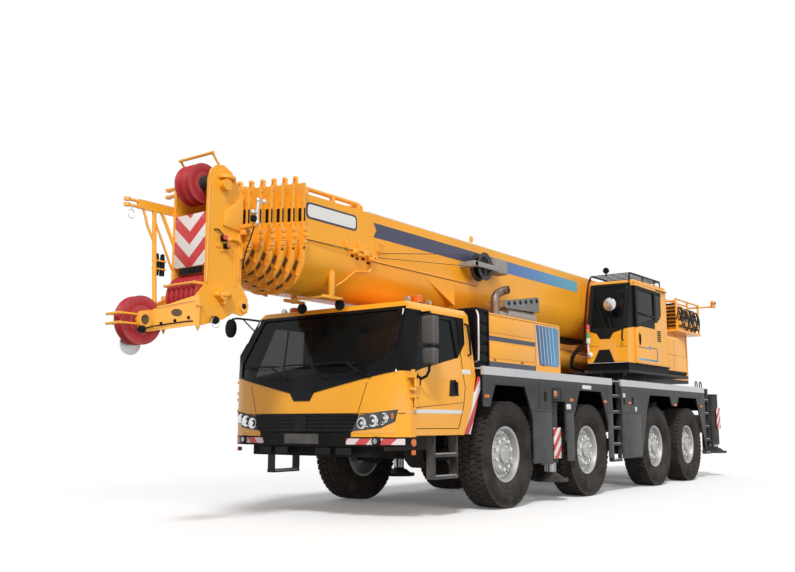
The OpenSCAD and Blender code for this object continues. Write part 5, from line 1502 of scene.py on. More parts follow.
@dataclass
class Superstructure:
    """Turntable, covers, winch and tail."""

    frame: Frame
    slew_x: float = -5.6

    def build(self) -> None:
        """Dress the superstructure."""
        # Painted shade: the turntable below 1.963 m is dark grey, for the shade under the cab and covers.
        base = Zone(FRAME_GREY, (-9.6, -1.4, 1.7), (-3.9, 1.4, 1.963))
        self.frame.rounded("turntable", YELLOW, 0.006, "yellow_paint", 2, [base])
        foot = [Zone(BLACK, (-7.2, s.value * 0.4, 1.9), (-6.0, s.value * 1.3, 2.02)) for s in SIDES]
        self.frame.rounded("side_covers", YELLOW, 0.05, "yellow_paint", 5, foot)
        self.frame.paint("rear_frame", YELLOW)
        self.ring()
        self.cover_trim()
        self.winch()
        self.tail()

    def ring(self) -> None:
        """Add the slewing ring's teeth and bolts."""
        teeth, bolts = Solid(), Solid()
        count = 72
        for k in range(count):
            place = (Matrix.Translation((self.slew_x, 0, 1.765))
                @ Matrix.Rotation(math.tau * k / count, 4, "Z") @ Matrix.Translation((0.972, 0, 0))
                @ Matrix.Diagonal((0.03, 0.045, 0.058, 1)))
            bmesh.ops.create_cube(teeth.bm, size=1.0, matrix=place)
        bolts.bolts([(x, y, 1.799) for x, y in oval(self.slew_x, 0.0, 0.925, 0.925, 48)], Axis.Z, 0.02, 0.018)
        dress("carrier", ring_teeth=(teeth, FRAME_GREY), ring_bolts=(bolts, STEEL))

    def cover_trim(self) -> None:
        """Add the covers' seams, bolts and slanted lines."""
        seams, dots, motif = solids(3)
        for out in (1, -1):
            y = out * 1.27
            seams.box((-6.363, y - out * 0.003, 2.03), (-6.357, y + out * 0.0012, 2.6), 0.0)
            seams.box((-7.03, y - out * 0.003, 2.31), (-6.08, y + out * 0.0012, 2.316), 0.0)
            for k in range(5):
                x = -6.56 - 0.085 * k
                motif.prism([(x, 2.06), (x - 0.012, 2.06), (x + 0.055, 2.585 - 0.03 * k),
                    (x + 0.067, 2.585 - 0.03 * k)], Axis.Y, y, y + out * 0.002, 0.0)
            dots.bolts([(x, y, z) for x in (-6.12, -6.32, -6.98) for z in (2.08, 2.55)], Axis.Y, 0.012, 0.006,
                out)
        dress("superstructure", cover_seams=(seams, SEAM_AND_SHADE), cover_bolts=(dots, STEEL),
            cover_lines=(motif, PALE_YELLOW))

    def winch(self) -> None:
        """Dress the winch drum, wind its rope, and trim the cheeks beside it."""
        self.frame.paint("winch_drum", FRAME_GREY)
        centre, reach, barrel, strand = (-8.93, 0.0, 2.42), 0.416, 0.261, 0.026
        turns = int(2 * reach / strand)
        ridges = [(barrel + 0.022 * (j % 2), -reach + strand * j / 2) for j in range(2 * turns + 1)]
        rope = Solid().lathe([(barrel - 0.004, -reach), *ridges, (barrel - 0.004, reach),
            (barrel - 0.004, -reach)], centre, Axis.Y)
        rope.piece("winch_rope", "winch", SHIELD)
        trim, bolts = Solid(), Solid()
        for out in (1, -1):
            y = out * 0.53
            trim.lathe([(0.0, 0.0), (0.15, 0.0), (0.145, 0.018), (0.0, 0.02)], (-7.9, y, 3.1), Axis.Y, 40,
                out)
            trim.box((-9.285, y - out * 0.004, 1.99), (-9.245, y + out * 0.014, 3.02), 0.005)
            trim.box((-9.24, y - out * 0.004, 1.99), (-7.12, y + out * 0.014, 2.03), 0.005)
            trim.box((-8.62, y - out * 0.004, 2.035), (-8.585, y + out * 0.014, 2.92), 0.005)
            pin_ring, drum_ring = oval(-7.9, 3.1, 0.115, 0.115, 8), oval(-8.93, 2.42, 0.2, 0.2, 8)
            bolts.bolts([(x, y + out * 0.018, z) for x, z in pin_ring], Axis.Y, 0.014, 0.01, out)
            bolts.bolts([(x, y, z) for x, z in drum_ring], Axis.Y, 0.016, 0.012, out)
        dress("superstructure", cheek_trim=(trim, YELLOW), cheek_bolts=(bolts, STEEL))

    def tail(self) -> None:
        """Fill the tail's frame with valve blocks, pipes and hoses and dark strips of painted shadow at its
        front end, and its arm with a beacon and a lamp.
        """
        blocks, hoses, amber, steel, dark = solids(5)
        for k in range(6):
            x = -9.25 + 0.21 * k
            blocks.box((x, 0.58, 2.985), (x + 0.13, 0.76, 3.2 + 0.05 * (k % 3)), 0.012, 3)
            steel.bolts([(x + 0.03, 0.762, z) for z in (3.05, 3.15)]
                + [(x + 0.1, 0.762, z) for z in (3.05, 3.15)], Axis.Y, 0.014, 0.012)
            top = 3.2 + 0.05 * (k % 3)
            steel.rod((x + 0.065, 0.67, top), (x + 0.065, 0.67, top + 0.1), 0.032, 0.026, 12)
            hoses.tube([(x + 0.065, 0.67, top + 0.09), (x + 0.06, 0.67, 3.4), (x + 0.03, 0.7, 3.47),
                (x - 0.02, 0.72, 3.46), (x - 0.04, 0.74, 3.38), (x - 0.035, 0.745, 3.2),
                (x - 0.03, 0.7, 3.06), (x - 0.01, 0.68, 3.02)], 0.016, 8)
        for k in range(13):
            x = -9.3 + 0.095 * k
            rise = 0.1 * math.sin(2.4 * k)
            hoses.tube([(x, 0.8, 3.02 + 0.2 * abs(rise)), (x + 0.02, 0.835, 3.12 + rise),
                (x + 0.05, 0.845, 3.26 + rise), (x + 0.12, 0.84, 3.36 + 0.6 * rise),
                (x + 0.2, 0.825, 3.33 + rise), (x + 0.22, 0.8, 3.22 + rise)], 0.015 + 0.004 * (k % 3), 8)
        for k in range(7):
            x = -9.22 + 0.18 * k
            blocks.box((x, 0.78, 3.06 + 0.05 * (k % 2)), (x + 0.09, 0.842, 3.15 + 0.07 * (k % 3)), 0.01, 3)
            steel.bolts([(x + 0.045, 0.842, 3.11 + 0.05 * (k % 2))], Axis.Y, 0.018, 0.014)
        for k in range(3):
            blocks.rod((-9.1 + 0.42 * k, 0.6, 3.36), (-9.1 + 0.42 * k, 0.79, 3.36), 0.085, sides=24)
            places = [(x, 0.79, z) for x, z in oval(-9.1 + 0.42 * k, 3.36, 0.055, 0.055, 6)]
            steel.bolts(places, Axis.Y, 0.012, 0.01)
        amber.lathe([(0.0, 0.0), (0.048, 0.0), (0.048, 0.06), (0.036, 0.082), (0.0, 0.09)],
            (-9.6, 1.05, 3.61), Axis.Z, 24)
        dark.lathe([(0.0, -0.03), (0.04, -0.02), (0.046, 0.0), (0.046, 0.03), (0.0, 0.036)],
            (-9.655, 1.05, 3.665), Axis.X, 20, -1)
        dark.rod((-9.655, 1.05, 3.6), (-9.655, 1.05, 3.65), 0.012)
        # Painted shadow: dark strips at the tail frame's front end.
        for k in range(7):
            dark.box((-7.953, 0.57, 3.02 + 0.075 * k), (-7.944, 0.78, 3.06 + 0.075 * k), 0.004)
        dress("superstructure", valve_blocks=(blocks, YELLOW), tail_pipes=(hoses, FRAME_GREY),
            tail_fittings=(steel, STEEL), tail_beacon=(amber, AMBER), tail_lamp=(dark, BLACK))


@dataclass
class OperatorCab:
    """The operator's cab with its door, guard, rails and lamps."""

    frame: Frame
    inner: float = 0.56
    outer: float = 1.29
    door_face: float = 1.326

    def build(self) -> None:
        """Dress the cab."""
        foot = Zone(BLACK, (-6.1, 0.5, 1.9), (-4.0, 1.4, 2.06))
        within = Zone(BLACK, (-6.1, 0.5, 1.9), (-4.0, 1.4, 3.6), heart=(-5.0, 0.92, 2.75))
        rear = Zone(BLACK, (-5.75, 1.2, 2.7), (-5.39, 1.4, 3.4),
            ((-5.74, 3.4), (-5.39, 3.4), (-5.39, 2.78), (-5.66, 2.92), (-5.73, 2.99)))
        pillar = Zone(BLACK, (-4.47, 1.2, 2.62), (-4.1, 1.4, 3.42),
            ((-4.12, 2.63), (-4.3, 3.37), (-4.47, 3.4), (-4.47, 2.68)))
        vent = [Zone(BLACK, (-5.665, 1.28, 2.5 + 0.034 * k), (-5.435, 1.4, 2.525 + 0.034 * k))
            for k in range(6)]
        self.frame.rounded("operator_cab", YELLOW, 0.014, "yellow_paint", 3,
            [within, foot, rear, pillar, *vent])
        band = Zone(BLACK, (-5.4, 1.2, 2.655), (-4.4, 1.4, 3.45),
            ((-5.4, 2.83), (-4.4, 2.66), (-4.4, 3.39), (-5.4, 3.39)))
        self.frame.rounded("operator_cab_door", YELLOW, 0.006, "yellow_paint", 2, [within, band])
        self.frame.paint("operator_cab_glass", GLASS)
        self.front_band()
        self.door_trim()
        self.rails()
        self.lamps()

    def lean(self, z: float) -> float:
        """Return how far forward the cab's front is at that height."""
        if z < 2.64:
            return -4.1 - 0.04 * max(0.0, z - 2.1) / 0.54
        return -4.14 - 0.21 * (z - 2.64) / 0.83

    def on_front(self, solid: Solid, outline: Sequence[Flat], lift: float, depth: float = 0.006) -> Solid:
        """Add a sheet that follows the cab's front; see DriverCab.on_front."""
        return solid.panel(outline, Axis.X, lambda y, z: self.lean(z) + lift, -depth, ((), (2.1, 2.64)))

    def front_band(self) -> None:
        """Add the front window's black band with its point, the foot window's frame and the wipers."""
        black, crease, cover, line = solids(4)
        self.on_front(black, [(0.575, 2.655), (0.575, 2.615), (0.735, 2.565), (0.79, 2.468), (0.97, 2.462),
            (1.03, 2.565), (1.288, 2.64), (1.288, 2.67), (1.213, 2.655)], 0.004)
        self.on_front(black, [(0.557, 2.62), (0.637, 2.65), (0.648, 3.39), (0.56, 3.44)], 0.004)
        self.on_front(black, [(1.213, 2.65), (1.289, 2.64), (1.287, 3.43), (1.203, 3.39)], 0.004)
        self.on_front(black, [(0.56, 3.44), (0.648, 3.388), (1.203, 3.388), (1.287, 3.43)], 0.004)
        self.on_front(cover, [(0.7, 2.09), (1.14, 2.09), (1.06, 2.462), (0.8, 2.462)], 0.003)
        self.on_front(black, [(0.675, 2.066), (1.055, 2.066), (0.965, 2.285), (0.78, 2.285)], 0.007)
        self.on_front(line, [(0.575, 2.055), (1.285, 2.055), (1.285, 2.066), (0.575, 2.066)], 0.004)
        for y0, y1, z in ((0.9, 0.7, 3.15), (1.0, 0.86, 3.05)):
            black.tube([(self.lean(2.66) + 0.03, y0, 2.66), (self.lean(2.9) + 0.035, (y0 + y1) / 2, 2.9),
                (self.lean(z) + 0.02, y1, z)], 0.008, 8)
        # Painted shade: thin dark strips along the folds in the front's sheet.
        self.on_front(crease, [(0.57, 2.342), (0.77, 2.342), (0.77, 2.35), (0.57, 2.35)], 0.0015, 0.002)
        self.on_front(crease, [(1.08, 2.33), (1.28, 2.318), (1.28, 2.326), (1.08, 2.338)], 0.0015, 0.002)
        dress("superstructure", operator_front_band=(black, GLOSS_BLACK, "black_paint"),
            operator_front_crease=(crease, SEAM_AND_SHADE), operator_front_cover=(cover, YELLOW),
            operator_base_line=(line, RAIL))

    def door_trim(self) -> None:
        """Add the door's pane, handle, lines and stripe, and the panel behind its window."""
        y = self.door_face
        pane, handle, dark, blue = solids(4)
        pane.box((-5.293, y - 0.026, 2.697), (-4.517, y - 0.02, 3.333), 0.0)
        handle.prism(oval(-4.56, 2.475, 0.036, 0.11, 20), Axis.Y, y - 0.004, y + 0.006, 0.003)
        handle.box((-4.572, y, 2.4), (-4.548, y + 0.022, 2.55), 0.007, 3)
        handle.box((-5.3, y - 0.014, 2.905), (-4.51, y + 0.003, 2.935), 0.004)
        dark.box((-4.9, y - 0.002, 2.33), (-4.45, y + 0.0015, 2.344), 0.0)
        dark.box((-5.37, y - 0.002, 2.345), (-5.1, y + 0.0015, 2.36), 0.0)
        blue.box((-5.07, y - 0.002, 2.325), (-4.93, y + 0.0015, 2.372), 0.0)
        blue.box((-5.375, y - 0.002, 2.12), (-4.46, y + 0.0015, 2.15), 0.0)
        blue.prism([(-5.375, 2.15), (-5.335, 2.15), (-5.325, 2.33), (-5.375, 2.33)], Axis.Y, y - 0.002, y
            + 0.0015, 0.0)
        skin = Solid().prism([(-5.92, 2.685), (-5.42, 2.685), (-5.42, 2.775), (-5.66, 2.92), (-5.73, 2.99),
            (-5.74, 3.355), (-5.92, 3.355)], Axis.Y, self.outer - 0.024, self.outer - 0.0004, 0.0)
        skin.piece("operator_side_skin", "superstructure", YELLOW)
        handle.prism([(-5.305, 2.685), (-4.505, 2.685), (-4.505, 2.715), (-5.305, 2.885)], Axis.Y, y - 0.03,
            y - 0.004, 0.0)
        dress("operator_cab_door", operator_door_pane=(pane, GLASS, "window_glass"),
            operator_door_handle=(handle, BLACK, "black_paint"), operator_door_lines=(dark, NAVY),
            operator_door_stripe=(blue, DOOR_BAND))

    def rails(self) -> None:
        """Add the black roof guard, grab rails, mirror and pipes."""
        dark, glass = Solid(), Solid()
        y0, y1, z = self.inner + 0.02, self.outer - 0.005, 3.595
        for y, foot in ((y0, 3.5), (y1, 3.44)):
            dark.tube([(-4.28, y, foot), (-4.3, y, z - 0.02), (-4.36, y, z), (-5.72, y, z + 0.012)], 0.015, 8)
        for k in range(12):
            x = -4.33 - 0.125 * k
            dark.tube([(x, y0, z), (x, y1, z)], 0.0085, 6)
        for x in (-4.9, -5.45, -5.72):
            for y in (y0, y1):
                dark.tube([(x, y, 3.49), (x, y, z)], 0.012, 8)
        dark.tube([(-4.02, 0.585, 2.43), (-3.985, 0.575, 2.5), (-4.02, 0.575, 2.75), (-4.16, 0.577, 3.3),
            (-4.22, 0.578, 3.47), (-4.28, 0.58, 3.55)], 0.015, 10)
        dark.tube([(-4.07, 1.225, 2.42), (-4.03, 1.225, 2.45), (-4.035, 1.235, 2.6), (-4.1, 1.262, 3.0),
            (-4.17, 1.27, 3.3), (-4.23, 1.265, 3.34)], 0.014, 10)
        dark.tube([(-4.22, 1.275, 3.235), (-4.1, 1.24, 3.25), (-4.05, 1.15, 3.24), (-4.04, 1.08, 3.18),
            (-4.06, 1.05, 3.1)], 0.012, 10)
        dark.lathe([(0.0, -0.06), (0.07, -0.05), (0.115, -0.015), (0.12, 0.0), (0.112, 0.004), (0.0, 0.004)],
            (-4.06, 1.02, 3.04), Axis.X, 32)
        glass.lathe([(0.0, 0.03), (0.05, 0.024), (0.09, 0.012), (0.111, 0.002), (0.1, 0.0), (0.0, 0.0)],
            (-4.055, 1.02, 3.04), Axis.X, 32)
        for shift in (0.0, 0.06):
            dark.tube([(-4.08, 0.54, 2.4 - shift), (-3.86, 0.52, 2.33 - shift), (-3.72 - shift, 0.47, 2.2),
                (-3.74 - shift, 0.42, 2.06), (-3.95, 0.36 - shift, 1.99), (-4.55, 0.32 - shift, 1.968)], 0.02,
                10, 3)
        dress("superstructure", operator_rails=(dark, BLACK, "black_paint"), operator_mirror=(glass, CONVEX))

    def lamps(self) -> None:
        """Add the stack lamp on its white pole and the roof's spot lamp."""
        x, y = -4.03, 0.62
        white = Solid().tube([(-4.1, y, 2.205), (x, y, 2.215), (x, y, 2.26), (x, y, 2.4)], 0.016, 10)
        white.lathe([(0.0, 2.395), (0.034, 2.395), (0.036, 2.4), (0.036, 2.485), (0.0, 2.487)], (x, y, 0.0),
            Axis.Z, 24)
        white.lathe([(0.0, -0.01), (0.045, -0.01), (0.045, 0.02), (0.02, 0.035), (0.0, 0.036)],
            (-4.105, y, 2.205), Axis.X, 20)
        white.piece("stack_lamp_pole", "superstructure", WHITE)
        for k, (label, finish) in enumerate((("green", GREEN_LENS), ("amber", AMBER), ("red", RED_LENS))):
            z = 2.487 + 0.076 * k
            Solid().lathe([(0.0, 0.0), (0.034, 0.0), (0.034, 0.066), (0.03, 0.074), (0.0, 0.0755)], (x, y, z),
                Axis.Z, 24).piece(f"stack_lamp_{label}", "superstructure", finish)
        dark, lens = Solid(), Solid()
        dark.rod((-4.33, 0.86, 3.58), (-4.33, 0.86, 3.63), 0.014)
        dark.lathe([(0.0, -0.06), (0.035, -0.055), (0.052, -0.01), (0.054, 0.012), (0.046, 0.014),
            (0.0, 0.008)], (-4.33, 0.86, 3.672), Axis.X, 24)
        lens.lathe([(0.0, 0.016), (0.03, 0.013), (0.045, 0.009), (0.044, 0.006), (0.0, 0.004)],
            (-4.33, 0.86, 3.672), Axis.X, 24)
        dress("superstructure", spot_lamp=(dark, BLACK), spot_lamp_glass=(lens, GLOSS_BLACK))


@dataclass
class Boom:
    """Boom sections, collars, lift cylinder and what is fixed to the boom."""

    frame: Frame
    half_width: float = 0.45
    top: float = 3.58
    round_z: float = 2.97
    step: float = 0.036
    collar_front: float = 2.95
    pitch: float = 0.132

    def build(self) -> None:
        """Dress the boom."""
        self.frame.rounded("boom_base", YELLOW, 0.004, "yellow_paint")
        for k in range(1, 6):
            self.frame.rounded(f"tele_{k}", YELLOW, 0.004, "yellow_paint")
        self.frame.paint("lift_cylinder_barrel", YELLOW)
        self.frame.paint("lift_cylinder_rod", CHROME)
        for k in range(6):
            self.collar(k)
        self.bands()
        self.top_guard()
        self.flank()
        self.reel()
        self.jib()

    def collar(self, k: int) -> None:
        """Add a collar's ears, valves, lower rims and bolts, with dark slits that are painted shade in its
        openings, painted shadows under its valves and brown wedges of painted shade on its lower rims.

        Args:
            k: The section's number, from 0 for the base.
        """
        body = "boom" if k == 0 else f"tele_{k}"
        front = self.collar_front + self.pitch * k
        rear = front - 0.034
        half = self.half_width - self.step * k + 0.042
        top = self.top - self.step * k + 0.102
        fall = 0.19 * (front - 3.03)
        yellow, dark, bolts, shade = solids(4)
        for out in (1, -1):
            foot = half - 0.16
            ear = [(foot - 0.055, top - 0.07), (foot + 0.075, top - 0.07), (foot + 0.036, top + 0.075),
                (foot + 0.03, top + 0.096), (foot + 0.016, top + 0.102), (foot + 0.002, top + 0.096),
                (foot - 0.006, top + 0.075)]
            yellow.prism([(out * y, z) for y, z in ear], Axis.X, rear, front - 0.004, 0.004)
            yellow.rod((rear - 0.012, out * (foot + 0.016), top + 0.075),
                (front + 0.01, out * (foot + 0.016), top + 0.075), 0.018, sides=12)
            yellow.box((rear, out * (half - 0.3), top - 0.07),
                (front - 0.004, out * (half - 0.26), top + 0.03), 0.006)
            # Painted shade: dark slits for the openings in the collar's side and front.
            dark.box((rear + 0.006, out * (half - 0.004), 3.235 - fall),
                (front - 0.006, out * (half + 0.0025), 3.385 - fall), 0.001)
            dark.box((front - 0.004, out * (half - 0.075), 3.235 - fall),
                (front + 0.0015, out * (half - 0.03), 3.385 - fall), 0.001)
            dark.prism([(out * (half - 0.24), top - 0.06), (out * (half - 0.12), top - 0.06),
                (out * (half - 0.15), top - 0.012), (out * (half - 0.21), top - 0.012)], Axis.X,
                front - 0.004, front + 0.0015, 0.0)
            for j, (dz, deep, size) in enumerate(((0.06, 0.03, 0.03), (-0.01, 0.042, 0.024),
                    (-0.085, 0.034, 0.028))):
                z = 3.09 - fall + dz
                yellow.box((rear - 0.006, out * (half - 0.01), z - size),
                    (front - 0.002, out * (half + deep), z + 0.6 * size), 0.005)
                yellow.rod((front - 0.017, out * half, z - size - 0.02),
                    (front - 0.017, out * (half + deep + 0.01), z - size - 0.024), 0.011, sides=10)
                if j != 1:
                    bolts.bolts([(front - 0.017, out * (half + deep), z)], Axis.Y, 0.011, 0.008, out)
                # Painted shadow: a dark strip under each valve block.
                dark.box((rear + 0.004, out * (half - 0.01), z - size - 0.052),
                    (front - 0.004, out * (half + 0.004), z - size - 0.036), 0.001)
            angles = [math.radians(8 + 6 * j) for j in range(13)]
            outer = [(half + 0.05 * math.sin(math.pi * j / 12) + 0.004) for j in range(13)]
            rim = [(out * r * math.cos(a), self.round_z - r * math.sin(a)) for r, a in zip(outer, angles)]
            rim += [(out * (half - 0.015) * math.cos(a), self.round_z - (half - 0.015) * math.sin(a))
                for a in reversed(angles)]
            yellow.prism(rim, Axis.X, rear + 0.004, front - 0.008, 0.0)
            # Painted shade: brown wedges on the front of the lower rim.
            for a in (math.radians(27), math.radians(48), math.radians(69)):
                near, far = half - 0.095, half - 0.024
                pocket = [(out * r * math.cos(b), self.round_z - r * math.sin(b))
                    for r, b in ((near, a - 0.15), (far, a - 0.08), (far, a + 0.15), (near, a + 0.15))]
                shade.prism(pocket, Axis.X, front - 0.004, front + 0.0012, 0.0)
            for a in (math.radians(38), math.radians(62), math.radians(80)):
                y, z = out * (half + 0.012) * math.cos(a), self.round_z - (half + 0.012) * math.sin(a)
                yellow.rod((rear - 0.01, y, z), (front + 0.006, y, z), 0.014, sides=10)
            bolts.bolts([(front, out * (half - 0.022), z) for z in (3.44 - fall, 3.2 - fall)], Axis.X, 0.01,
                0.006)
        yellow.piece(f"collar_lugs_{k}", body, YELLOW)
        dark.piece(f"collar_slots_{k}", body, BLACK)
        shade.piece(f"collar_pockets_{k}", body, SEAM_AND_SHADE)
        bolts.piece(f"collar_bolts_{k}", body, STEEL)

    def bands(self) -> None:
        """Add the coloured bands and the blank plates on the boom's flanks."""
        band, rim, plate = solids(3)
        for out in (1, -1):
            y = out * self.half_width
            band.prism([(1.66, 3.292), (1.6, 3.385), (1.66, 3.472), (-4.015, 3.472), (-4.015, 3.292)], Axis.Y,
                y - out * 0.002, y + out * 0.0025, 0.0)
            ring = rounded_outline(1.975, 2.865, 3.305, 3.495, 0.06)
            rim.prism(ring, Axis.Y, y - out * 0.002, y + out * 0.003, 0.0)
            plate.prism(rounded_outline(2.0, 2.84, 3.328, 3.472, 0.045), Axis.Y, y, y + out * 0.0045, 0.0)
        dress("boom", boom_bands=(band, BAND), plate_rims=(rim, NAVY), blank_plates=(plate, WHITE))

    def top_guard(self) -> None:
        """Add the bright strip and the guard frame on the boom's top."""
        strip, guard, rope = solids(3)
        for out in (1, -1):
            strip.tube([(1.75, out * 0.432, self.top + 0.006), (-8.3, out * 0.432, self.top + 0.008)], 0.016,
                8)
            guard.tube([(2.93, out * 0.36, 3.655), (2.9, out * 0.36, 3.672), (1.86, out * 0.36, 3.672),
                (1.8, out * 0.36, 3.65), (1.78, out * 0.36, 3.57)], 0.026, 10)
            for x in (2.78, 2.32, 1.86):
                guard.box((x - 0.025, out * 0.335, self.top - 0.004), (x + 0.025, out * 0.385, 3.672), 0.005)
            guard.prism([(2.0, 3.578), (2.12, 3.578), (2.08, 3.66), (2.03, 3.66)], Axis.Y, out * 0.2,
                out * 0.24, 0.004)
            rope.rod((1.95, out * 0.1, 3.625), (-8.3, out * 0.1, 3.605), 0.011, sides=8)
        for x in (2.78, 1.86):
            guard.rod((x, -0.36, 3.66), (x, 0.36, 3.66), 0.02, sides=12)
        for x in (1.95, -1.0, -4.0, -7.0):
            guard.box((x - 0.03, -0.16, self.top - 0.004), (x + 0.03, -0.14, 3.66), 0.004)
            guard.box((x - 0.03, 0.14, self.top - 0.004), (x + 0.03, 0.16, 3.66), 0.004)
            guard.rod((x, -0.15, 3.59), (x, 0.15, 3.59), 0.014, sides=12)
        dress("boom", boom_top_strips=(strip, WHITE), boom_top_guard=(guard, YELLOW),
            boom_top_rods=(rope, FRAME_GREY))

    def flank(self) -> None:
        """Add the brackets, valves, pipes, ledge, cable and work lamps along the boom, with painted shadows
        under the valves and the ledge, and a dark slab of painted shade under the boom where the stowed jib
        is seen.
        """
        parts, pipes, dark, lens, seams = solids(5)
        for out in (1, -1):
            y = out * self.half_width
            for x in (2.2, 1.95):
                parts.prism([(y - out * 0.004, 3.225), (y - out * 0.004, 3.075), (y + out * 0.055, 3.075)],
                    Axis.X, x - 0.008, x + 0.008, 0.001)
            parts.box((1.74, y - out * 0.01, 3.06), (2.1, y + out * 0.05, 3.085), 0.005)
            for x, z, size in ((2.06, 3.045, 0.032), (1.97, 3.02, 0.026), (1.86, 3.04, 0.036),
                    (1.76, 3.0, 0.03), (1.7, 3.03, 0.024)):
                parts.box((x - size, y - out * 0.01, z - size), (x + size, y + out * 0.062, z + 0.8 * size),
                    0.006)
                parts.rod((x, y + out * 0.05, z - 0.01), (x, y + out * 0.092, z - 0.012), 0.55 * size,
                    sides=12)
                # Painted shadow: a dark strip under each valve block.
                dark.box((x - 0.8 * size, y - out * 0.004, z - size - 0.03),
                    (x + 0.8 * size, y + out * 0.004, z - size - 0.004), 0.002)
            parts.tube([(1.62, y + out * 0.03, 3.235), (1.46, y + out * 0.03, 3.205),
                (1.46, y + out * 0.03, 3.105), (1.62, y + out * 0.03, 3.13), (1.62, y + out * 0.03, 3.235)],
                0.006, 6)
            parts.box((1.56, y - out * 0.01, 3.11), (1.58, y + out * 0.034, 3.13), 0.002)
            parts.tube([(2.27, out * 0.33, 2.6), (2.13, out * 0.395, 2.7), (2.0, out * 0.447, 2.82),
                (1.9, out * 0.464, 2.835), (1.76, out * 0.466, 2.845), (1.725, out * 0.466, 2.92),
                (1.71, out * 0.47, 3.0)], 0.011, 8)
            seams.rod((2.92, y + out * 0.012, 3.062), (2.1, y + out * 0.03, 3.056), 0.006, sides=8)
            parts.box((-0.72, y - out * 0.005, 2.988), (1.7, y + out * 0.012, 3.004), 0.003)
            # Painted shadow: a dark line under the ledge.
            seams.box((-0.72, y - out * 0.005, 2.98), (1.7, y + out * 0.003, 2.988), 0.0)
            for x in (1.06, -1.75):
                parts.box((x - 0.012, y - out * 0.004, 3.1), (x + 0.012, y + out * 0.008, 3.18), 0.002)
            parts.prism([(-0.6, 3.575), (-0.66, 3.575), (-0.7, 3.66), (-0.675, 3.715), (-0.635, 3.7)], Axis.Y,
                y - out * 0.06, y - out * 0.035, 0.004)
        pipes.rod((1.62, 0.53, 3.085), (-0.5, 0.6, 3.395), 0.0045, sides=6)
        pipes.rod((1.72, 0.53, 3.02), (-0.34, 0.6, 3.2), 0.004, sides=6)
        for y, x in ((-0.19, 2.2), (0.4, 2.2)):
            parts.box((x + 0.13, y - 0.022, 2.45), (x + 0.19, y + 0.022,
                self.round_z - math.sqrt(0.2025 - y * y) + 0.02), 0.006)
            parts.box((x - 0.02, y - 0.018, 2.455), (x + 0.32, y + 0.018, 2.492), 0.006)
            dark.rod((x, y, 2.462), (x, y, 2.43), 0.016, sides=12)
            dark.lathe([(0.0, -0.05), (0.035, -0.046), (0.062, -0.01), (0.066, 0.016), (0.056, 0.02),
                (0.0, 0.012)], (x + 0.01, y, 2.405), Axis.X, 28)
            lens.lathe([(0.0, 0.019), (0.036, 0.017), (0.054, 0.013), (0.052, 0.01), (0.0, 0.01)],
                (x + 0.008, y, 2.405), Axis.X, 28)
        parts.rod((2.48, -0.21, 2.474), (2.48, 0.42, 2.474), 0.014, sides=12)
        # Painted shade: a dark slab under the boom, for the stowed jib seen in shade beneath it.
        dark.box((-4.9, -0.15, 2.468), (-1.75, 0.15, 2.53), 0.01)
        dress("boom", boom_brackets=(parts, YELLOW), boom_pipes=(pipes, FRAME_GREY), boom_seams=(seams, SEAM_AND_SHADE),
            boom_lamps=(dark, BLACK), boom_lamp_glass=(lens, GLOSS_BLACK))

    def reel(self) -> None:
        """Build the cable reel: open flanges, wound cable, motor box and arms."""
        x, z, y = -0.6, 3.23, self.half_width
        spool, cable, box = solids(3)
        for depth in (0.085, 0.215):
            spool.lathe([(0.15, 0.0), (0.196, 0.0), (0.2, 0.005), (0.196, 0.011), (0.15, 0.011), (0.15, 0.0)],
                (x, y + depth, z), Axis.Y, 48)
            for k in range(3):
                a = math.tau * (k + 0.25) / 3
                spool.rod((x + 0.04 * math.cos(a), y + depth + 0.005, z + 0.04 * math.sin(a)),
                    (x + 0.16 * math.cos(a), y + depth + 0.005, z + 0.16 * math.sin(a)), 0.012, sides=8)
            spool.lathe([(0.0, -0.004), (0.06, -0.004), (0.062, 0.005), (0.058, 0.014), (0.0, 0.014)],
                (x, y + depth, z), Axis.Y, 32)
        winding = [(0.05, 0.012)]
        for k in range(10):
            winding += [(0.14, 0.014 + 0.0115 * k), (0.147, 0.0195 + 0.0115 * k)]
        cable.lathe(winding + [(0.14, 0.127), (0.05, 0.128), (0.05, 0.012)], (x, y + 0.085, z), Axis.Y, 48)
        box.box((x - 0.58, y + 0.06, z - 0.05), (x - 0.25, y + 0.25, z + 0.16), 0.012, 3)
        box.box((x - 0.32, y + 0.236, z - 0.035), (x + 0.32, y + 0.256, z + 0.035), 0.005)
        box.box((x + 0.24, y - 0.004, z - 0.04), (x + 0.33, y + 0.256, z + 0.04), 0.008)
        box.box((x - 0.5, y - 0.004, z - 0.03), (x - 0.3, y + 0.08, z + 0.1), 0.008)
        box.rod((x, y - 0.004, z), (x, y + 0.24, z), 0.035)
        box.bolts([(x - 0.54 + 0.25 * i, y + 0.25, z + 0.13 - 0.15 * j) for i in range(2) for j in range(2)],
            Axis.Y, 0.01, 0.006)
        dress("boom", reel_spool=(spool, FRAME_GREY, "", ("cable_reel",)), reel_cable=(cable, BLACK),
            reel_motor=(box, MOTOR_GREY))

    def jib(self) -> None:
        """Dress the stowed jib with its frames and bracing."""
        self.frame.rounded("stowed_jib", YELLOW, 0.006, "yellow_paint")
        brace, pins = Solid(), Solid()
        y = -self.half_width - 0.39
        for k in range(11):
            x = -4.4 + 0.68 * k
            brace.box((x - 0.02, y - 0.012, 2.645), (x + 0.02, y + 0.004, 2.995), 0.004)
            if k < 10:
                brace.rod((x, y - 0.004, 2.66), (x + 0.68, y - 0.004, 2.98), 0.013, sides=8)
        for x in (-3.5, -0.675, 2.1):
            pins.rod((x, y - 0.02, 3.03), (x, y + 0.1, 3.03), 0.022, sides=12)
        dress("boom", jib_bracing=(brace, YELLOW), jib_pins=(pins, STEEL))


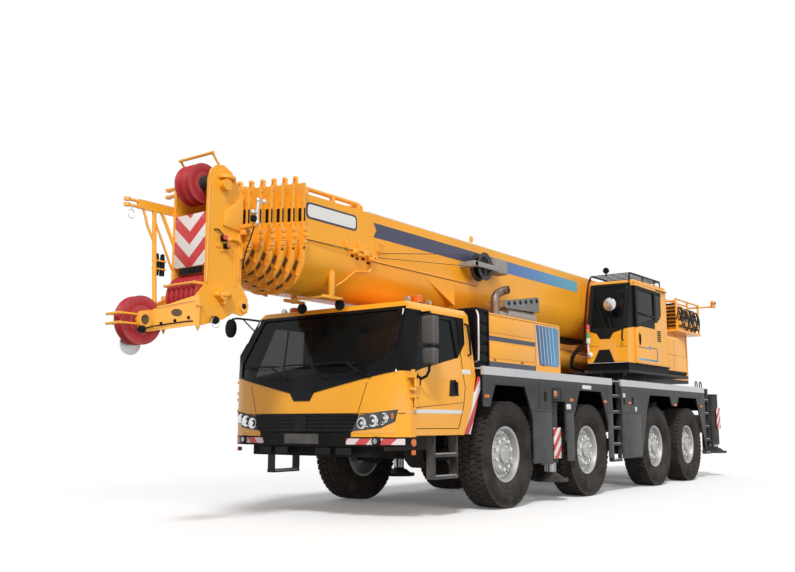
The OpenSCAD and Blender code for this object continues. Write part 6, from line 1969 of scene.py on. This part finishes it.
@dataclass
class Head:
    """Head of the boom with its sheaves."""

    frame: Frame
    plate: float = 0.262
    front: float = 4.105

    def build(self) -> None:
        """Dress the head."""
        pins = [Zone(FRAME_GREY, (3.9, s.value * 0.112, 3.4), (4.16, s.value * 0.2335, 3.62)) for s in SIDES]
        self.frame.rounded("boom_head", YELLOW, 0.004, "yellow_paint", 2, pins)
        for node in ("top_sheave", "lower_sheaves", "rooster_sheave"):
            self.frame.paint(node, RED)
        self.warning_panel()
        self.plates()
        self.rooster()
        self.bracket()
        self.hubs()

    def warning_panel(self) -> None:
        """Add the chevron panel and its screws."""
        panel = Solid().box((self.front - 0.003, -0.234, 2.625), (self.front + 0.002, 0.234, 3.168), 0.001)
        panel.piece("chevron_panel", "boom_head", HEAD_BARS)
        screws = Solid().bolts([(self.front + 0.002, out * 0.2, z) for out in (1, -1)
            for z in (2.68, 2.9, 3.12)], Axis.X, 0.009, 0.005)
        screws.piece("panel_screws", "boom_head", STEEL)

    def plates(self) -> None:
        """Add the plates' lugs, ramps, edge bars, valves, hoses and small lamps, with painted shade in the
        lugs' bores and in the opening above the lower sheaves.
        """
        lugs, dark, red, amber, steel = solids(5)
        for out in (1, -1):
            y = out * self.plate
            for x, z in ((3.875, 3.56), (3.885, 2.335)):
                half = [(x + 0.112 * math.cos(a), y + out * 0.088 * math.sin(a))
                    for a in [math.pi * k / 12 for k in range(13)]]
                lugs.prism(half, Axis.Z, z - 0.02, z + 0.018, 0.006)
                lugs.prism([(x - 0.02, y), (x + 0.02, y), (x + 0.02, y + out * 0.06),
                    (x - 0.02, y + out * 0.06)], Axis.Z, z - 0.1, z - 0.015, 0.004)
            lugs.prism([(3.905, 3.19), (3.905, 3.05), (3.64, 3.02), (3.64, 3.42)], Axis.Y, y - out * 0.004, y
                + out * 0.022, 0.01)
            lugs.tube([(4.098, y + out * 0.004, 2.44), (4.098, y + out * 0.004, 3.45)], 0.01, 8)
            lugs.box((3.66, y - out * 0.002, 2.52), (3.69, y + out * 0.012, 3.0), 0.004)
            lugs.rod((3.59, y - out * 0.002, 2.25), (3.59, y + out * 0.014, 2.25), 0.062, sides=24)
            dark.rod((3.59, y + out * 0.004, 2.25), (3.59, y + out * 0.0155, 2.25), 0.03, sides=20)
            for x, z in ((3.91, 3.475), (3.91, 2.34)):
                lugs.lathe([(0.03, 0.0), (0.06, 0.0), (0.058, 0.045), (0.034, 0.046), (0.03, 0.0)],
                    (x, y - out * 0.002, z), Axis.Y, 28, out)
                # Painted shade: a dark disc in the lug's bore.
                dark.rod((x, y, z), (x, y + out * 0.03, z), 0.0335, sides=24)
            lugs.rod((3.8, out * 0.18, 3.5), (3.64, out * 0.18, 3.5), 0.04, sides=20)
        y = self.plate
        dark.box((3.875, y, 2.885), (3.935, y + 0.055, 2.945), 0.012, 3)
        dark.box((3.835, y, 2.815), (3.895, y + 0.05, 2.865), 0.01, 3)
        dark.tube([(4.02, y + 0.004, 2.99), (3.98, y + 0.016, 3.0), (3.94, y + 0.024, 2.97),
            (3.91, y + 0.03, 2.94)], 0.007, 8)
        for x, z in ((3.96, 2.83), (3.9, 2.79), (3.83, 2.79)):
            lugs.box((x - 0.03, y - 0.002, z - 0.008), (x + 0.03, y + 0.014, z + 0.008), 0.003)
        lugs.tube([(3.86, y + 0.012, 2.9), (3.78, y + 0.02, 2.93), (3.71, y + 0.022, 2.92),
            (3.66, y + 0.022, 2.89), (3.648, y + 0.018, 2.82), (3.648, y + 0.01, 2.74)], 0.017, 10)
        lugs.tube([(3.8, y + 0.006, 2.86), (3.748, y + 0.006, 2.8), (3.735, y + 0.006, 2.7),
            (3.725, y + 0.006, 2.45)], 0.006, 8)
        red.lathe([(0.0, 0.0), (0.026, 0.0), (0.024, 0.018), (0.0, 0.024)], (3.915, y + 0.052, 2.918), Axis.Y,
            20)
        amber.lathe([(0.0, 0.0), (0.022, 0.0), (0.02, 0.016), (0.0, 0.022)], (3.862, y + 0.047, 2.842),
            Axis.Y, 20)
        dark.lathe([(0.0, -0.03), (0.036, -0.02), (0.042, 0.0), (0.036, 0.03), (0.0, 0.04)],
            (4.0, y + 0.045, 2.066), Axis.X, 20)
        dark.rod((4.0, y, 2.1), (4.0, y + 0.05, 2.07), 0.012)
        loop = [(x, y + 0.05, z) for x, z in oval(4.0, 2.045, 0.055, 0.055, 20)]
        steel.tube([*loop, loop[0]], 0.004, 6)
        lugs.box((3.625, y - 0.01, 3.055), (3.685, 0.5, 3.095), 0.006)
        lugs.box((3.635, y - 0.01, 2.99), (3.675, 0.34, 3.06), 0.006)
        steel.tube([(3.655, 0.485, 3.08), (3.65, 0.492, 3.13), (3.655, 0.495, 3.19), (3.645, 0.495, 3.32)],
            0.017, 10)
        steel.tube([(3.655, 0.495, 3.195), (3.685, 0.497, 3.205), (3.715, 0.497, 3.2)], 0.019, 10)
        steel.tube([(3.645, 0.495, 3.315), (3.6, 0.496, 3.318), (3.565, 0.496, 3.335)], 0.01, 8)
        for x, z, size in ((3.645, 3.338, 0.026), (3.555, 3.342, 0.028), (3.715, 3.2, 0.026),
                (3.652, 3.1, 0.03)):
            steel.lathe([(size * math.sin(math.pi * k / 10), -size * math.cos(math.pi * k / 10))
                for k in range(11)], (x, 0.496, z), Axis.Z, 16)
        dark.box((3.668, 0.47, 3.1), (3.725, 0.515, 3.165), 0.008)
        dark.tube([(3.66, 0.47, 3.06), (3.655, 0.42, 2.96), (3.655, 0.35, 2.82), (3.65, 0.3, 2.66)], 0.007, 8)
        # Painted shade: a dark panel for the opening above the lower sheaves.
        dark.box((4.092, -0.152, 2.552), (4.101, 0.188, 2.632), 0.002)
        lugs.rod((4.085, -0.25, 2.335), (4.085, -0.425, 2.338), 0.02, sides=12)
        dress("boom_head", head_lugs=(lugs, YELLOW), head_sensors=(dark, BLACK), head_lamps=(red, RED_LENS),
            head_turn_lamps=(amber, AMBER), head_valves=(steel, STEEL))

    def rooster(self) -> None:
        """Add the bosses, stiffeners, hinge pin, guard and lamp of the rooster arm, and brown patches of
        painted shade for its oval holes and the bosses' bores.
        """
        boss, hole, disc, dark = solids(4)

        def skin(x: float) -> float:
            """Return how far out the arm's left plate is at that place along it."""
            return 0.261 - 0.4583 * min(max(x - 4.21, 0.0), 0.36)

        for out in (1, -1):
            boss.lathe([(0.036, 0.0), (0.082, 0.0), (0.08, 0.018), (0.05, 0.02), (0.046, 0.004),
                (0.036, 0.004)], (4.69, out * 0.094, 2.02), Axis.Y, 32, out)
            # Painted shade: a brown disc in the boss's bore and brown ovals for the holes.
            hole.rod((4.69, out * 0.095, 2.02), (4.69, out * 0.1, 2.02), 0.046, sides=24)
            for size, part, lift in ((0.064, boss, 0.003), (0.05, hole, 0.0045)):
                part.panel(oval(4.385, 2.112, size, 0.74 * size, 24), Axis.Y, lambda x, z,
                    up=lift: out * (skin(x) + up), -out * 0.004)
            stiff = [(4.23, 2.243), (4.56, 2.15), (4.56, 2.162), (4.23, 2.256)]
            boss.panel(stiff, Axis.Y, lambda x, z: out * (skin(x) + 0.014), -out * 0.02)
            boss.rod((4.185, out * 0.262, 2.215), (4.185, out * 0.262, 1.985), 0.021, sides=14)
            boss.rod((4.185, out * 0.262, 1.986), (4.185, out * 0.262, 1.945), 0.02, 0.003, 14)
            boss.box((4.15, out * 0.225, 2.185), (4.22, out * 0.29, 2.212), 0.006)
        boss.rod((4.215, -0.235, 2.43), (4.215, 0.235, 2.43), 0.014, sides=12)
        for out in (1, -1):
            boss.box((4.09, out * 0.215, 2.415), (4.23, out * 0.233, 2.445), 0.004)
        segment = [(4.69 + 0.115 * math.cos(a), 1.8 + 0.105 * math.sin(a))
            for a in [math.pi + math.pi * k / 14 for k in range(15)]]
        disc.prism([(4.805, 1.84), *[(x, z) for x, z in reversed(segment)], (4.575, 1.84)], Axis.Y, -0.115,
            -0.1, 0.003)
        dark.lathe([(0.0, -0.03), (0.03, -0.02), (0.036, 0.0), (0.03, 0.03), (0.0, 0.036)],
            (4.74, 0.135, 1.925), Axis.X, 20)
        dark.rod((4.73, 0.09, 1.955), (4.74, 0.135, 1.93), 0.01, sides=10)
        dark.tube([(4.72, 0.125, 1.93), (4.6, 0.108, 1.965), (4.45, skin(4.45) + 0.008, 2.0),
            (4.3, skin(4.3) + 0.008, 2.032), (4.24, skin(4.24) + 0.008, 2.04)], 0.006, 8)
        for x in (4.28, 4.4, 4.52):
            dark.box((x - 0.01, skin(x) - 0.006, 1.985 + 0.3 * (4.52 - x)),
                (x + 0.01, skin(x) + 0.018, 2.012 + 0.3 * (4.52 - x)), 0.003)
        dress("boom_head", rooster_bosses=(boss, YELLOW), rooster_holes=(hole, SEAM_AND_SHADE),
            rooster_disc=(disc, STEEL), rooster_lamp=(dark, BLACK))

    def bracket(self) -> None:
        """Add the fork tips, lugs, ring, braces and twin lamps of the bracket on the right."""
        fork, dark, steel = solids(3)
        y = -0.282
        for z in (3.205, 3.262):
            fork.rod((4.52, y, z), (4.655, y - 0.012, z), 0.016, sides=12)
            fork.lathe([(0.014, -0.016), (0.032, -0.016), (0.032, 0.016), (0.014, 0.016), (0.014, -0.016)],
                (4.668, y - 0.012, z), Axis.Z, 20)
        for z in (3.415, 3.49):
            fork.box((4.045, -0.262, z - 0.014), (4.105, -0.395, z + 0.014), 0.008)
            fork.lathe([(0.013, -0.015), (0.032, -0.015), (0.032, 0.015), (0.013, 0.015), (0.013, -0.015)],
                (4.075, -0.408, z), Axis.Z, 20)
        fork.tube([(4.48, y, 3.2), (4.43, y + 0.015, 3.02), (4.356, y + 0.036, 2.86)], 0.014, 10)
        fork.tube([(4.11, -0.262, 2.62), (4.24, -0.25, 2.86), (4.345, -0.27, 3.1)], 0.013, 10)
        loop = [(x, y, z) for x, z in oval(4.62, 3.115, 0.035, 0.045, 16)]
        steel.tube([*loop, loop[0]], 0.005, 6)
        steel.rod((4.62, y, 3.16), (4.62, y, 3.2), 0.007)
        for dx in (-0.035, 0.035):
            dark.lathe([(0.0, -0.11), (0.026, -0.11), (0.028, 0.02), (0.02, 0.11), (0.0, 0.12)],
                (4.29 + dx, -0.235, 2.64), Axis.Z, 20)
        fork.box((4.225, -0.255, 2.585), (4.372, -0.205, 2.602), 0.004)
        fork.box((4.225, -0.255, 2.668), (4.372, -0.205, 2.685), 0.004)
        dress("boom_head", bracket_tubes=(fork, YELLOW), bracket_lamps=(dark, BLACK),
            bracket_ring=(steel, STEEL))

    def hubs(self) -> None:
        """Add hub rings and lightening holes to the sheaves' faces."""
        for body, x, z, half, r in (("rooster_sheave", 4.69, 2.02, 0.056, 0.234),
                ("top_sheave", 4.03, 3.495, 0.108, 0.212)):
            hub, ribs = Solid(), Solid()
            for out in (1, -1):
                hub.lathe([(0.056, 0.0), (0.078, 0.0), (0.076, 0.006), (0.058, 0.007)],
                    (x, out * (half - 0.001), z), Axis.Y, 28, out)
                ribs.lathe([(0.62 * r, 0.0), (0.86 * r, 0.0), (0.855 * r, 0.004), (0.625 * r, 0.004)],
                    (x, out * (half - 0.001), z), Axis.Y, 48, out)
            hub.piece(f"{body}_hub", body, FRAME_GREY)
            ribs.piece(f"{body}_web", body, RED, slot="red_nylon")


@dataclass
class Studio:
    """Camera, floor, lamps and world."""

    eye: Point = (9.8658, 6.9527, 1.0497)
    yaw: float = 36.783
    pitch: float = 8.906
    key_light: float = 2.0
    fill_light: float = 1.0
    world_light: float = 0.42

    def build(self) -> None:
        """Set up the studio."""
        self.camera()
        self.floor()
        self.lamps()
        bpy.context.scene.view_settings.view_transform = "Standard"

    def camera(self) -> None:
        """Place the camera as the photograph was taken."""
        data = bpy.data.cameras.new("camera")
        data.sensor_width = SENSOR
        data.lens = FOCAL_PIXELS / PHOTO_WIDTH * SENSOR
        data.clip_end = 400
        camera = bpy.data.objects.new("camera", data)
        bpy.context.scene.collection.objects.link(camera)
        yaw, pitch = math.radians(self.yaw), math.radians(self.pitch)
        ahead = Vector((-math.cos(yaw) * math.cos(pitch), -math.sin(yaw) * math.cos(pitch), math.sin(pitch)))
        camera.location = Vector(self.eye) + Vector((AXLE_1_X, 0, 0))
        camera.rotation_mode = "QUATERNION"
        camera.rotation_quaternion = ahead.to_track_quat("-Z", "Y")
        bpy.context.scene.camera = camera

    def floor(self) -> None:
        """Lay a plain floor, pale where the camera, a mirror or glass shows it."""
        bm = bmesh.new()
        bmesh.ops.create_grid(bm, x_segments=1, y_segments=1, size=FLOOR_HALF)
        mesh = bpy.data.meshes.new("floor")
        bm.to_mesh(mesh)
        bm.free()
        floor = bpy.data.objects.new("floor", mesh)
        bpy.context.scene.collection.objects.link(floor)
        material = bpy.data.materials.new("pale_floor")
        material.use_nodes = True
        tree = material.node_tree
        shader = tree.nodes["Principled BSDF"]
        shader.inputs["Roughness"].default_value = 0.9
        shader.inputs["Specular IOR Level"].default_value = 0.1
        shader.inputs["Emission Color"].default_value = (1.0, 1.0, 1.0, 1)
        seen = self.seen(tree)
        tree.links.new(mix_colour(tree, seen, (0.36, 0.36, 0.355, 1), (0.98, 0.98, 0.98, 1)),
            shader.inputs["Base Color"])
        tree.links.new(arithmetic(tree, "MULTIPLY", seen, 0.1), shader.inputs["Emission Strength"])
        mesh.materials.append(material)

    def seen(self, tree: Tree) -> Socket:
        """Return 1 for rays from the camera, a mirror or glass, and 0 for the others.

        Args:
            tree: A material's or the world's node tree.

        Returns:
            A value socket.
        """
        path = tree.nodes.new("ShaderNodeLightPath")
        seen = arithmetic(tree, "MAXIMUM", path.outputs["Is Camera Ray"], path.outputs["Is Transmission Ray"])
        return arithmetic(tree, "MAXIMUM", seen, path.outputs["Is Glossy Ray"])

    def lamps(self) -> None:
        """Hang the lamps and light the world softly."""
        self.sun("key", (-0.62, -0.35, -0.72), self.key_light, 10)
        self.sun("fill", (-0.25, -0.85, -0.3), self.fill_light, 40)
        world = bpy.data.worlds.new("studio")
        world.use_nodes = True
        tree = world.node_tree
        back = tree.nodes["Background"]
        back.inputs["Color"].default_value = (1.0, 1.0, 1.0, 1)
        tree.links.new(ranged(tree, self.seen(tree), self.world_light, 1.0), back.inputs["Strength"])
        bpy.context.scene.world = world

    def sun(self, name: str, direction: Point, strength: float, angle: float) -> None:
        """Add a broad distant lamp.

        Args:
            name: Its name.
            direction: The way its light goes.
            strength: Its strength.
            angle: Its apparent width in degrees.
        """
        data = bpy.data.lights.new(name, "SUN")
        data.energy = strength
        data.angle = math.radians(angle)
        lamp = bpy.data.objects.new(name, data)
        lamp.rotation_mode = "QUATERNION"
        lamp.rotation_quaternion = Vector(direction).to_track_quat("-Z", "Y")
        bpy.context.scene.collection.objects.link(lamp)


def main() -> None:
    """Build the crane's looks and the studio around the frame."""
    logging.basicConfig(level=logging.INFO, format="%(message)s")
    for old in list(bpy.data.objects):
        bpy.data.objects.remove(old)
    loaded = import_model()
    bodies = loaded["record"]["behaviour"]["bodies"]
    frame = Frame(loaded["nodes"], {node: body for body, nodes in bodies.items() for node in nodes})
    for assembly in (Wheels(frame), Carrier(frame), DriverCab(frame), Hoods(frame), Superstructure(frame),
            OperatorCab(frame), Boom(frame), Head(frame), Studio()):
        assembly.build()


if __name__ == "__main__":
    main()
